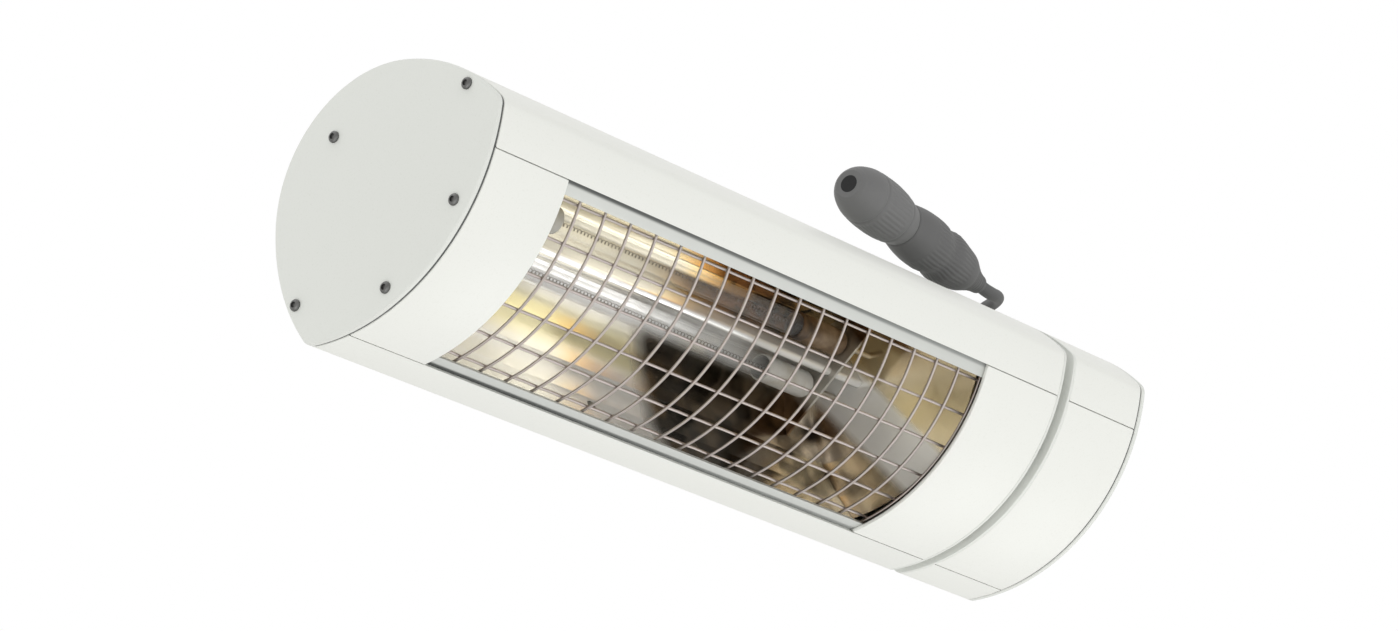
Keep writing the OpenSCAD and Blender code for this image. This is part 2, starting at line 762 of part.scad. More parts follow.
module knob_washer() color([0.75, 0.75, 0.76]) difference() {
    pivot_rod(ear_outer, ear_outer + knob_washer_thickness, pivot_r * 2.2);
    pivot_rod(ear_outer - 1, ear_outer + knob_washer_thickness + 1, pivot_r + shank_clear);
}

// Star knob: a disc with scallops, a hub under it and a blind threaded bore
knob_lobes = 6;
module lock_knob() color([0.14, 0.14, 0.15]) difference() {
    union() {
        pivot_rod(knob_y0, knob_y0 + knob_height - 11, pivot_r * 2);
        pivot_rod(knob_y0 + knob_height - 12, knob_y0 + knob_height, knob_diameter / 2, 72);
    }
    pivot_rod(knob_y0 - 1, knob_y0 + knob_socket, pivot_r + shank_clear);
    for (i = [0 : knob_lobes - 1])
        translate(pivot) rotate([0, i * 360 / knob_lobes, 0])
            translate([knob_diameter / 2 + 2.5, knob_y0 + knob_height - 13, 0])
                rotate([-90, 0, 0]) cylinder(r = 5.5, h = 20, $fn = 32);
}

channel_half = strut_width / 2 + 1;
cheek_thickness = 2.5;
cheek_height = strut_height * 0.7;
cap_z = strut_height + pad_thickness;
bolt_x = clamp_length / 2 - 9;
bolt_y = clamp_width / 2 - 5;
bolt_points = [for (sx = [-1, 1], sy = [-1, 1]) [sx * bolt_x, sy * bolt_y]];
clamp_bolt_r = clamp_bolt / 2;
saddle_bottom = -pad_thickness - clamp_plate;

module clamp_saddle() color([0.92, 0.92, 0.9]) difference() {
    union() {
        translate([-clamp_length / 2, -clamp_width / 2, saddle_bottom])
            cube([clamp_length, clamp_width, clamp_plate]);
        for (s = [-1, 1])
            translate([-clamp_length / 2, s > 0 ? channel_half : -channel_half - cheek_thickness,
                       saddle_bottom])
                cube([clamp_length, cheek_thickness, cheek_height - saddle_bottom]);
        pivot_rod(-tongue_thickness / 2, tongue_thickness / 2, ear_radius);
        translate([-ear_radius, -tongue_thickness / 2, pivot[2]])
            cube([2 * ear_radius, tongue_thickness, saddle_bottom - pivot[2] + 1]);
    }
    pivot_rod(-tongue_thickness, tongue_thickness, pivot_r + shank_clear);
    for (p = bolt_points)
        translate([p[0], p[1], saddle_bottom - 1])
            cylinder(r = clamp_bolt_r + shank_clear, h = clamp_plate + 2, $fn = 32);
}

module clamp_cap() color([0.92, 0.92, 0.9]) difference() {
    translate([-clamp_length / 2, -clamp_width / 2, cap_z])
        cube([clamp_length, clamp_width, clamp_plate]);
    for (p = bolt_points)
        translate([p[0], p[1], cap_z - 1])
            cylinder(r = clamp_bolt_r + shank_clear, h = clamp_plate + 2, $fn = 32);
}

clamp_nut_height = 4.2;
module clamp_bolts() color([0.72, 0.72, 0.73])
    for (p = bolt_points) {
        translate([p[0], p[1], saddle_bottom - clamp_nut_height - 1.5])
            cylinder(r = clamp_bolt_r, h = cap_z + clamp_plate - saddle_bottom + clamp_nut_height + 1.5,
                     $fn = 32);
        translate([p[0], p[1], cap_z + clamp_plate])
            cylinder(r = clamp_bolt_r * 1.9, h = clamp_bolt_r * 1.3, $fn = 6);
    }

module clamp_nuts() color([0.72, 0.72, 0.73])
    for (p = bolt_points) difference() {
        translate([p[0], p[1], saddle_bottom - clamp_nut_height])
            cylinder(r = clamp_bolt_r * 1.9, h = clamp_nut_height, $fn = 6);
        translate([p[0], p[1], saddle_bottom - 20])
            cylinder(r = clamp_bolt_r + shank_clear, h = 40, $fn = 32);
    }

module pad(z0) translate([-clamp_length / 2 + 2, -strut_width / 2, z0])
    cube([clamp_length - 4, strut_width, pad_thickness]);
module lower_pad() color([0.12, 0.12, 0.12]) pad(-pad_thickness);
module upper_pad() color([0.12, 0.12, 0.12]) pad(strut_height);

// ---- lead and coupling ----
// Tip of the plug's boot, measured from the far end of the body, from its
// middle and from the top of its back
tip_back = 74;
tip_side = 64;
tip_drop = 14;
boot_tip = [far_x - tip_back, -tip_side, -stand_off - tip_drop];
// Route of the lead from the gland to the boot, measured in the same way
route_bends = [
    [-31, -32, 10], [-31, -36, 10], [-31, -40, 9.2], [-31.4, -44, 7.5],
    [-32.6, -47.8, 5.2], [-34.4, -51.2, 2.6], [-37, -54.2, -0.2], [-40.2, -56.8, -3],
    [-44, -58.8, -5.8], [-48.2, -60.2, -8.4], [-52.6, -61.2, -10.6], [-57.2, -61.8, -12.4],
    [-62, -62.4, -13.5], [-66.6, -62.9, -14]
];
straight_end = 3.6;
lead_route = concat(
    [for (p = route_bends) [far_x + p[0], p[1], p[2] - stand_off]],
    [boot_tip + straight_end * [cos(coupling_yaw), sin(coupling_yaw), 0], boot_tip]
);
gland_face = lead_route[0];

// Cylinder along Y from the gland's face, between two distances behind it
module entry_rod(d0, d1, r, sides = 48) {
    translate([gland_face[0], gland_face[1] + d0, gland_face[2]]) rotate([-90, 0, 0])
        cylinder(r = r, h = d1 - d0, $fn = sides);
}

hood_x = gland_face[0];
hood_half_x = 15;
hood_half_y = 14;
hood_height = 24;
hood_top = hood_height - stand_off;
hood_passage_r = 7;
gland_reach = -gland_face[1] - hood_half_y;
gland_nut = 5;
gland_thread_r = 8;
hood_screw_r = 1.6;
hood_screw_length = 32;
hood_screw_head_r = 3;
hood_screw_head = 2;
hood_screw_in = [3.5, 4];
hood_screw_points = [for (s = [-1, 1])
    [hood_x + s * (hood_half_x - hood_screw_in[0]), s * (hood_half_y - hood_screw_in[1])]];
module cable_hood() color([0.92, 0.92, 0.9]) difference() {
    translate([hood_x - hood_half_x, -hood_half_y, hood_top - 30])
        cube([2 * hood_half_x, 2 * hood_half_y, 30]);
    along_x(tube_x1, far_x) polygon(outline(0));
    translate([hood_x, 0, hood_top - 60]) cylinder(r = hood_passage_r, h = 60 - 4, $fn = 32);
    entry_rod(gland_reach - 1, gland_reach + 10, gland_thread_r + shank_clear);
    for (p = hood_screw_points)
        translate([p[0], p[1], hood_top - 60]) cylinder(r = hood_screw_r + shank_clear, h = 70, $fn = 24);
}

module hood_screws() color([0.7, 0.7, 0.71])
    for (p = hood_screw_points) {
        translate([p[0], p[1], hood_top - hood_screw_length])
            cylinder(r = hood_screw_r, h = hood_screw_length, $fn = 24);
        translate([p[0], p[1], hood_top]) cylinder(r = hood_screw_head_r, h = hood_screw_head, $fn = 24);
    }

module cable_gland() color([0.3, 0.3, 0.31]) difference() {
    union() {
        entry_rod(3, gland_reach - gland_nut, 9.4);
        entry_rod(0, 4, 7.4);
        entry_rod(gland_reach - gland_nut, gland_reach, 11, 6);
        entry_rod(gland_reach - 1, gland_reach + 9, gland_thread_r);
    }
    entry_rod(8, gland_reach + 10, 4);
}

// Tube along a route of points: one ring of corners at each point
function route_dir(p, i) = unit(p[min(i + 1, len(p) - 1)] - p[max(i - 1, 0)]);
function ring(p, i, r, n) =
    let (d = route_dir(p, i), u = unit(cross([0, 0, 1], d)), v = cross(d, u))
    [for (k = [0 : n - 1]) p[i] + r * (cos(360 * k / n) * u + sin(360 * k / n) * v)];
module route_tube(p, r, n) {
    points = [for (i = [0 : len(p) - 1]) each ring(p, i, r, n)];
    last = (len(p) - 1) * n;
    faces = concat(
        [[for (k = [n - 1 : -1 : 0]) k]],
        [for (i = [0 : len(p) - 2], k = [0 : n - 1])
            let (a = i * n + k, b = i * n + (k + 1) % n) [a, b, b + n, a + n]],
        [[for (k = [0 : n - 1]) last + k]]
    );
    polyhedron(points = points, faces = faces, convexity = 4);
}

module lamp_lead() color([0.3, 0.3, 0.3]) route_tube(lead_route, lead_diameter / 2, 10);

// Frame of the coupling: X runs from the boot's tip towards the supply side
module coupling_frame() {
    translate(boot_tip) rotate([0, 0, 180 + coupling_yaw]) rotate([0, 90, 0]) children();
}

plug_grip = plug_diameter / 2;
socket_z0 = boot_length + plug_length;
socket_r = socket_diameter / 2;
waist_r = plug_grip - 2.5;
boot_r = 5;
pin_spacing = 5.5;
pin_r = 2.2;
pin_reach = 17;
pin_root = 16;
// Moulded plug: a tapered boot, a grip with two low swells and a waist at the mouth
module coupling_plug() color([0.32, 0.32, 0.32]) coupling_frame() difference() {
    rotate_extrude($fn = 64) polygon([
        [0, 0], [boot_r, 0], [boot_r + 0.5, 4], [boot_r + 1.8, boot_length * 0.45],
        [boot_r + 4.2, boot_length * 0.75], [plug_grip - 3.2, boot_length],
        [plug_grip - 1.9, boot_length + 8], [plug_grip - 0.9, boot_length + 14],
        [plug_grip - 0.2, boot_length + 20], [plug_grip - 0.6, boot_length + 26],
        [plug_grip - 0.2, boot_length + 32], [plug_grip, socket_z0 - 24],
        [plug_grip, socket_z0 - 18], [plug_grip - 0.6, socket_z0 - 11],
        [plug_grip - 1.6, socket_z0 - 5], [waist_r, socket_z0], [0, socket_z0]]);
    for (s = [-1, 1]) translate([s * pin_spacing, 0, socket_z0 - pin_root])
        cylinder(r = pin_r + shank_clear, h = pin_root + 4, $fn = 32);
}

module plug_pins() color([0.78, 0.72, 0.5]) coupling_frame()
    for (s = [-1, 1]) translate([s * pin_spacing, 0, socket_z0 - pin_root])
        cylinder(r = pin_r, h = pin_root + pin_reach, $fn = 32);

supply_entry_depth = 22;
// Moulded socket half: a waist at its mouth, a fat grip and a domed cable end
module coupling_socket() color([0.34, 0.34, 0.34]) coupling_frame() difference() {
    translate([0, 0, socket_z0 + slide_clear]) rotate_extrude($fn = 64) polygon([
        [0, 0], [waist_r, 0], [waist_r + 0.3, 3], [socket_r - 1.6, 7],
        [socket_r - 0.6, 13], [socket_r, 21], [socket_r, 28], [socket_r - 0.3, 34],
        [socket_r - 1, socket_length - 12], [socket_r - 2.9, socket_length - 6],
        [socket_r - 5.2, socket_length - 2], [socket_r - 7.5, socket_length],
        [0, socket_length]]);
    for (s = [-1, 1]) translate([s * pin_spacing, 0, socket_z0 - 1])
        cylinder(r = pin_r + 0.4, h = pin_reach + 3, $fn = 32);
    translate([0, 0, socket_z0 + socket_length - supply_entry_depth])
        cylinder(r = lead_diameter / 2 + 0.1, h = supply_entry_depth + 5, $fn = 48);
}

// Sleeves at the bottom of the socket's holes, behind the pin tips
module socket_contacts() color([0.78, 0.72, 0.5]) coupling_frame()
    for (s = [-1, 1]) translate([s * pin_spacing, 0, socket_z0 + pin_reach + 0.3])
        cylinder(r = pin_r + 0.35, h = 1.6, $fn = 32);

rear_shell();
near_front_cover();
far_front_cover();
end_plate(near_x);  // near_end_plate
plate_seal(near_x + plate_thickness);  // near_plate_seal
plate_screws(near_x, -1);  // near_plate_screws
end_plate(far_x - plate_thickness);  // far_end_plate
plate_seal(terminal_x1);  // far_plate_seal
plate_screws(far_x, 1);  // far_plate_screws
terminal_shell();
terminal_front_cover();
bulkhead(shell_x1);  // tube_bulkhead
bulkhead(terminal_x0);  // terminal_bulkhead
joint_spacers();
joint_bolts();
wire_guard();
reflector();
near_end_reflector();
far_end_reflector();
reflector_ribs();
reflector_rivets();
quartz_tube_left();
quartz_tube_right();
filament_left();
filament_right();
lamp_caps();
near_lamp_holder();
far_lamp_holder();
series_link();
line_leads();
wire_bushings();
terminal_block();
terminal_screws();
block_screws();
earth_stud();
earth_nuts();
backing_plate();
hinge_base();
hinge_base_screws();
pivot_bolt();
friction_washers();
knob_washer();
lock_knob();
clamp_saddle();
clamp_cap();
clamp_bolts();
clamp_nuts();
lower_pad();
upper_pad();
cable_hood();
hood_screws();
cable_gland();
lamp_lead();
coupling_plug();
plug_pins();
coupling_socket();
socket_contacts();
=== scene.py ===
"""Looks of a patio infrared heat lamp, laid out as an add-on.

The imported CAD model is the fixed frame. The pieces made here are surfaces
worked out with numpy in the same frame, in millimetres, and put in as metres.
The window of the lamp looks down -Z and the terminal housing is at +X.
"""

import json
import math

import bmesh
import bpy
import numpy as np
from mathutils import Matrix, Vector

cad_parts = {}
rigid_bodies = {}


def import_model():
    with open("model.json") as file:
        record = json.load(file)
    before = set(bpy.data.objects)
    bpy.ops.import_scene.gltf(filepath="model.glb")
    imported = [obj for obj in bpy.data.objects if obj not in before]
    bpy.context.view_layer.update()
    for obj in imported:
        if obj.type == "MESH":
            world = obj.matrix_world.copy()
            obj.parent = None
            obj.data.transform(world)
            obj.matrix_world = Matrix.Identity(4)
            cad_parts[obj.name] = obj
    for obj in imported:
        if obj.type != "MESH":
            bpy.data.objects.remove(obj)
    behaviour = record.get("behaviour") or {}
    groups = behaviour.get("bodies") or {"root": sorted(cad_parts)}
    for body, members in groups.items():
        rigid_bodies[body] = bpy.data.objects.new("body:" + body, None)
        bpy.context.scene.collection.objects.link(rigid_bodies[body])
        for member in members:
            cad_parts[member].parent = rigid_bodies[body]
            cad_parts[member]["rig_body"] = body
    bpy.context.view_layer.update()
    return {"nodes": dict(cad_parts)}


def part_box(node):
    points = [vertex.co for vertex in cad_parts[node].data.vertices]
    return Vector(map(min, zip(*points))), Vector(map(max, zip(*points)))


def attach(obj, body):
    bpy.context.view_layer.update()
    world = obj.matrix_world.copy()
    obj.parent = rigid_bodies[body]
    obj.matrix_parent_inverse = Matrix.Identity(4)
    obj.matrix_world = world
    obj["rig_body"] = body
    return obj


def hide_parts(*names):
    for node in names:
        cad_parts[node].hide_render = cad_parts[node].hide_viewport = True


bl_info = {
    "name": "Infrared Heat Lamp Looks",
    "version": (1, 0, 0),
    "blender": (4, 5, 0),
    "location": "View3D > Sidebar > Heat Lamp",
    "description": "Builds the housing, mirror, tubes, guard, clamp and lead of a patio heat lamp",
    "category": "Object",
}

for _old in list(bpy.data.objects):
    bpy.data.objects.remove(_old)
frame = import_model()
NODES = frame["nodes"]
MM = 0.001

# ---------------------------------------------------------------- sizes, in mm
# Section of the body: half width, depth to the back and to the front from BODY_Z,
# radii of its arcs and their centres, walls, the seam beside the covers, its gap
# and the ledges' width
HALF_WIDTH, REAR, FRONT = 74.0, 86.0, 28.0
FRONT_R, SIDE_R, CORNER_R = 108.0, 96.0, 7.0
FRONT_C = FRONT_R - FRONT
SIDE_OFF = SIDE_R - HALF_WIDTH
TOP_R = (SIDE_R**2 - REAR**2 - SIDE_OFF**2) / (2 * (SIDE_R - REAR))
TOP_C = REAR - TOP_R
JOIN = math.degrees(math.atan2(TOP_C, SIDE_OFF))
WALL, COVER, LEDGE = 2.2, 2.0, 2.0
SEAM, GAP, LEDGE_IN = 55.8, 0.5, 7.0
BODY_Z = -142.0

# Places along the body: end plates, both shells, groove plates and window
PLATE_IN, PLATE_OUT = 257.0, 260.0
TUBE_X0, SHELL_X1, TUBE_X1 = -255.8, 186.5, 188.5
TERM_X0, BLOCK_X0, TERM_X1 = 195.0, 197.0, 255.8
WINDOW_X0, WINDOW_X1 = -204.0, 126.0

# Guard: pitch of the cross wires, number of long wires, depth of one layer of wire
GUARD_PITCH, LONG_WIRES, GUARD_LAYER = 18.6, 6, 1.0

# Mirror: sheet, its rim's distance from the seam, its reach beyond the window and
# its rim's depth; the end mirrors' reach, lean in degrees and depth; the rivets
MIRROR_SHEET, MIRROR_SIDE, MIRROR_OUT = 0.8, 3.6, 8.2
MIRROR_INSET = COVER + LEDGE + 2 * GUARD_LAYER
END_MIRROR_OUT, END_MIRROR_LEAN, END_MIRROR_FOOT = 7.6, 14.0, 8.6
RIVET_X = (WINDOW_X0 + 128, WINDOW_X0 + 207)

# Lamps: outer ends of the caps, axes, glass, filament and caps
LAMP_X0, LAMP_X1 = -171.0, 93.0
TUBE_Y, TUBE_Z = 14.0, 44.0
GLASS_R, BORE_R, GLASS_IN = 6.0, 4.8, 18.0
COIL_R, COIL_WIRE_R, COIL_IN = 0.82, 0.16, 12.0
CAP_R, CAP_LENGTH = 7.0, 38.0

# Coupling: turn from the X axis in degrees, halves and grip flutes; and the lead,
# whose route is in metres
COUPLING_YAW = 8.5
PLUG_LENGTH, SOCKET_LENGTH = 82, 52
FLUTES, FLUTE_DEPTH = 36, 0.32
LEAD_R = 3.5
LEAD_ROUTE = [
    (0.229, -0.032, -0.046), (0.229, -0.036, -0.046), (0.229, -0.04, -0.0468),
    (0.2286, -0.044, -0.0485), (0.2274, -0.0478, -0.0508), (0.2256, -0.0512, -0.0534),
    (0.223, -0.0542, -0.0562), (0.2198, -0.0568, -0.059), (0.216, -0.0588, -0.0618),
    (0.2118, -0.0602, -0.0644), (0.2074, -0.0612, -0.0666), (0.2028, -0.0618, -0.0684),
    (0.198, -0.0624, -0.0695), (0.1934, -0.0629, -0.07), (0.18956, -0.06347, -0.07),
    (0.186, -0.064, -0.07),
]

# Height of the hinge bolt, and its star knob
HINGE_Z = -32.0
KNOB_DEPTH, KNOB_LOBES, KNOB_NECK = 19.0, 6, 8.0


# ------------------------------------------------------------------ 2-D shapes
def front_z(y, inset=0.0):
    """Height of the curved front at y: centre less the root of radius squared less y squared."""
    return FRONT_C - np.sqrt((FRONT_R - inset) ** 2 - np.asarray(y, float) ** 2)


FRONT_SCREW_Z = float(front_z(26)) + 9
SCREWS = [(-66.0, 22.0), (66.0, 22.0), (-26.0, FRONT_SCREW_Z), (26.0, FRONT_SCREW_Z), (0.0, REAR - 18)]


def arc(centre, radius, a0, a1, step):
    """Points on a circle between two angles in degrees, ends included."""
    a = np.radians(np.linspace(a0, a1, max(2, math.ceil(abs(a1 - a0) / step)) + 1))
    return np.stack([centre[0] + radius * np.cos(a), centre[1] + radius * np.sin(a)], 1)


def turn_angles(sides):
    """Even angles of one whole turn."""
    return np.radians(np.arange(sides) * 360 / sides)


def without_doubles(points, closed=False):
    """Leaves out each point that lies on the one before it."""
    keep = np.ones(len(points), bool)
    keep[1:] = np.linalg.norm(np.diff(points, axis=0), axis=1) > 1e-4
    if closed and np.linalg.norm(points[0] - points[-1]) < 1e-4:
        keep[-1] = False
    return points[keep]


def wrap(inset, y0, step=1.5):
    """Path on the body's section from the front at +y0, round the corner, the
    side and the back, to the front at -y0. The arcs of front, corner, side and
    back meet tangentially, and the second half is the first one mirrored."""
    r = max(CORNER_R - inset, 0.5)
    rs, rf = SIDE_R - inset - r, FRONT_R - inset - r
    link = np.array([SIDE_OFF, FRONT_C])
    d = np.linalg.norm(link)
    u = link / d
    along = (rs * rs - rf * rf + d * d) / (2 * d)
    across = math.sqrt(rs * rs - along * along)
    c = np.array([-SIDE_OFF, 0]) + along * u + across * np.array([u[1], -u[0]])
    a_front = math.degrees(math.atan2(c[1] - FRONT_C, c[0]))
    a_side = math.degrees(math.atan2(c[1], c[0] + SIDE_OFF))
    start = -90 + math.degrees(math.asin(y0 / (FRONT_R - inset)))
    half = np.vstack([
        arc((0, FRONT_C), FRONT_R - inset, start, a_front, step),
        arc(c, r, a_front, a_side, 8),
        arc((-SIDE_OFF, 0), SIDE_R - inset, a_side, JOIN, step),
        arc((0, TOP_C), TOP_R - inset, JOIN, 90, step),
    ])
    return without_doubles(np.vstack([half, half[::-1] * [-1, 1]]))


def front_strip(inset, y0, y1, count):
    """Path on the curved front from y0 to y1."""
    y = np.linspace(y0, y1, count)
    return np.stack([y, front_z(y, inset)], 1)


def double_area(loop):
    """Twice a loop's area by the cross products of its sides, above 0 if it runs anticlockwise."""
    after = np.roll(loop, -1, 0)
    return np.sum(loop[:, 0] * after[:, 1] - loop[:, 1] * after[:, 0])


def inwards(loop, distance):
    """Moves a closed loop inwards: each corner goes along the mitre of its two sides."""
    sign = 1.0 if double_area(loop) > 0 else -1.0
    e = np.roll(loop, -1, 0) - loop
    e /= np.linalg.norm(e, axis=1)[:, None]
    n = sign * np.stack([-e[:, 1], e[:, 0]], 1)
    m = n + np.roll(n, 1, 0)
    m /= np.maximum(np.linalg.norm(m, axis=1), 1e-9)[:, None]
    scale = 1.0 / np.maximum(np.sum(m * n, 1), 0.45)
    return loop + m * (scale * distance)[:, None]


def rounded(points, radius, step=12.0):
    """Rounds each inner corner of an open line with an arc of that radius, where it fits."""
    out = [points[0]]
    for a, b, c in zip(points[:-2], points[1:-1], points[2:]):
        a, b, c = (np.asarray(q, float) for q in (a, b, c))
        u, v = (a - b) / np.linalg.norm(a - b), (c - b) / np.linalg.norm(c - b)
        half = math.acos(np.clip(u @ v, -1, 1)) / 2
        cut = min(radius / math.tan(half), 0.45 * np.linalg.norm(a - b), 0.45 * np.linalg.norm(c - b))
        r = cut * math.tan(half)
        m = (u + v) / np.linalg.norm(u + v)
        centre = b + m * (r / math.sin(half))
        p, q = b + u * cut - centre, b + v * cut - centre
        turn = math.atan2(p[0] * q[1] - p[1] * q[0], p @ q)
        k = max(2, math.ceil(math.degrees(abs(turn)) / step))
        t = np.linspace(0, turn, k + 1)
        out += list(centre + np.stack([p[0] * np.cos(t) - p[1] * np.sin(t),
                                       p[0] * np.sin(t) + p[1] * np.cos(t)], 1))
    out.append(points[-1])
    return without_doubles(np.array(out, float))


# ---------------------------------------------------------------- mesh makers
def grid_faces(rows, columns):
    """Quads between neighbouring rows of a grid, closed round each row."""
    j = np.arange(columns)
    i = np.arange(rows - 1)[:, None]
    a = i * columns + j
    b = i * columns + (j + 1) % columns
    return np.stack([a, b, b + columns, a + columns], -1).reshape(-1, 4).tolist()


def capped(rows, columns):
    """The quads of such a grid, and its first and last rows as faces."""
    n = rows * columns
    return grid_faces(rows, columns) + [list(range(columns))[::-1], list(range(n - columns, n))]


def outwards(points, faces):
    """Turns all faces round if the closed surface's volume comes out negative."""
    volume = 0.0
    for size in sorted({len(f) for f in faces}):
        f = np.array([q for q in faces if len(q) == size])
        a = points[f[:, 0]]
        for k in range(1, size - 1):
            volume += np.sum(np.einsum("ij,ij->i", a, np.cross(points[f[:, k]], points[f[:, k + 1]])))
    return faces if volume > 0 else [list(q)[::-1] for q in faces]


def prism(loop, x0, x1, edge, steps=3):
    """Solid of a closed (y, z) loop between x0 and x1. The two rims are rounded by
    quarter circles: the loop moves in by edge less its sine while x moves by its cosine."""
    a = np.radians(np.linspace(0, 90, steps + 1))
    xs = np.concatenate([x0 + edge * (1 - np.cos(a)), x1 - edge * (1 - np.cos(a[::-1]))])
    insets = np.concatenate([edge * (1 - np.sin(a)), edge * (1 - np.sin(a[::-1]))])
    rings = [inwards(loop, s) if s > 1e-6 else loop for s in insets]
    points = np.concatenate([np.column_stack([np.full(len(loop), x), ring[:, 0], ring[:, 1] + BODY_Z])
                             for x, ring in zip(xs, rings)])
    faces = capped(len(xs), len(loop))
    return points, faces if double_area(loop) > 0 else [q[::-1] for q in faces]


def lathe(profile, origin, direction, sides):
    """Surface of revolution: profile holds (distance along, radius) from one end to
    the other, and each end closes at a single point on the axis."""
    profile, origin = np.asarray(profile, float), np.asarray(origin, float)
    d = np.asarray(direction, float) / np.linalg.norm(direction)
    ref = np.array([0, 0, 1.0]) if abs(d[2]) < 0.9 else np.array([1.0, 0, 0])
    u = np.cross(ref, d)
    u /= np.linalg.norm(u)
    v = np.cross(d, u)
    a = turn_angles(sides)
    ring = np.cos(a)[:, None] * u + np.sin(a)[:, None] * v
    rings = origin + profile[:, 0, None, None] * d + profile[:, 1, None, None] * ring[None]
    points = np.vstack([rings.reshape(-1, 3), [origin + profile[k, 0] * d for k in (0, -1)]])
    n = len(profile)
    first, last = n * sides, n * sides + 1
    j = np.arange(sides)
    after, base = (j + 1) % sides, (n - 1) * sides
    faces = [q[::-1] for q in grid_faces(n, sides)]
    faces += np.stack([j, after, np.full(sides, first)], 1).tolist()
    faces += np.stack([base + after, base + j, np.full(sides, last)], 1).tolist()
    return points, outwards(points, faces)


def tube(path, radius, sides, ref=(0, 0, 1)):
    """Round tube along a path: each ring stands square to the path's tangent, and
    its first direction is the cross product of a fixed vector and the tangent."""
    path = np.asarray(path, float)
    t = np.gradient(path, axis=0)
    t /= np.linalg.norm(t, axis=1)[:, None]
    u = np.cross(np.broadcast_to(np.asarray(ref, float), t.shape), t)
    u /= np.linalg.norm(u, axis=1)[:, None]
    v = np.cross(t, u)
    a = turn_angles(sides)
    points = path[:, None] + radius * (np.cos(a)[None, :, None] * u[:, None]
                                       + np.sin(a)[None, :, None] * v[:, None])
    points = points.reshape(-1, 3)
    return points, outwards(points, capped(len(path), sides))


def hollow(section, y, z, sides):
    """Closed section of (x, radius) points carried round the axis at y and z."""
    p = np.array(section, float)
    a = turn_angles(sides)
    points = np.stack([np.repeat(p[:, 0], sides), (y + p[:, 1, None] * np.cos(a)).ravel(),
                       (z + p[:, 1, None] * np.sin(a)).ravel()], 1)
    j = np.arange(sides)
    after, base = (j + 1) % sides, (len(p) - 1) * sides
    faces = grid_faces(len(p), sides) + np.stack([base + j, base + after, after, j], 1).tolist()
    return points, outwards(points, faces)


def softened(profile, length):
    """Radii every half millimetre along a profile: straight between its points, then
    the mean of nine neighbours but for the first and last 1.5 mm."""
    profile = np.array(profile)
    s = np.linspace(0, length, 2 * length + 1)
    r = np.interp(s, profile[:, 0], profile[:, 1])
    mean = np.convolve(np.pad(r, 4, mode="edge"), np.ones(9) / 9, "valid")
    return s, np.where((s > 1.5) & (s < length - 1.5), mean, r)


def fluted(s, r, origin, along, between):
    """A lathe of radii r at distances s whose radius also falls by a raised cosine of
    the angle, between two distances, so that fine grip flutes run along it."""
    a = turn_angles(FLUTES * 6)
    u = np.cross([0, 0, 1.0], along)
    u /= np.linalg.norm(u)
    v = np.cross(along, u)
    ease = np.clip((s - between[0]) / 3, 0, 1) * np.clip((between[1] - s) / 3, 0, 1)
    cut = FLUTE_DEPTH * ease[:, None] * (0.5 + 0.5 * np.cos(FLUTES * a))[None]
    ring = (np.cos(a)[:, None] * u + np.sin(a)[:, None] * v)[None]
    points = (origin + s[:, None, None] * along + (r[:, None] - cut)[..., None] * ring).reshape(-1, 3)
    return points, outwards(points, capped(len(s), len(a)))


def joined(parts):
    """Several solids as one list of points and faces."""
    points, faces, start = [], [], 0
    for p, f in parts:
        points.append(np.asarray(p, float))
        faces += [[i + start for i in q] for q in f]
        start += len(p)
    return np.vstack(points), faces


def smooth_line(points, count):
    """Even points on a smooth curve through the given ones (Catmull-Rom)."""
    p = np.asarray(points, float)
    p = np.vstack([2 * p[0] - p[1], p, 2 * p[-1] - p[-2]])
    s = np.linspace(0, len(p) - 3 - 1e-9, count)
    i = s.astype(int)
    t = (s - i)[:, None]
    a, b, c, d = p[i], p[i + 1], p[i + 2], p[i + 3]
    return 0.5 * (2 * b + (c - a) * t + (2 * a - 5 * b + 4 * c - d) * t**2
                  + (3 * b - a - 3 * c + d) * t**3)


# ------------------------------------------------------------------ materials
def linear(r, g, b):
    """A colour of 0 to 255 as the eye sees it, as linear light."""
    c = np.array([r, g, b]) / 255
    return tuple(np.where(c <= 0.04045, c / 12.92, ((c + 0.055) / 1.055) ** 2.4)) + (1.0,)


def shade(colour, factor):
    """The colour times the factor, up to white."""
    return tuple(min(1.0, c * factor) for c in colour[:3]) + (1.0,)


def grey(tone):
    """A grey of that much linear light."""
    return (tone, tone, tone, 1.0)


BLACK, WHITE = grey(0.0), grey(1.0)


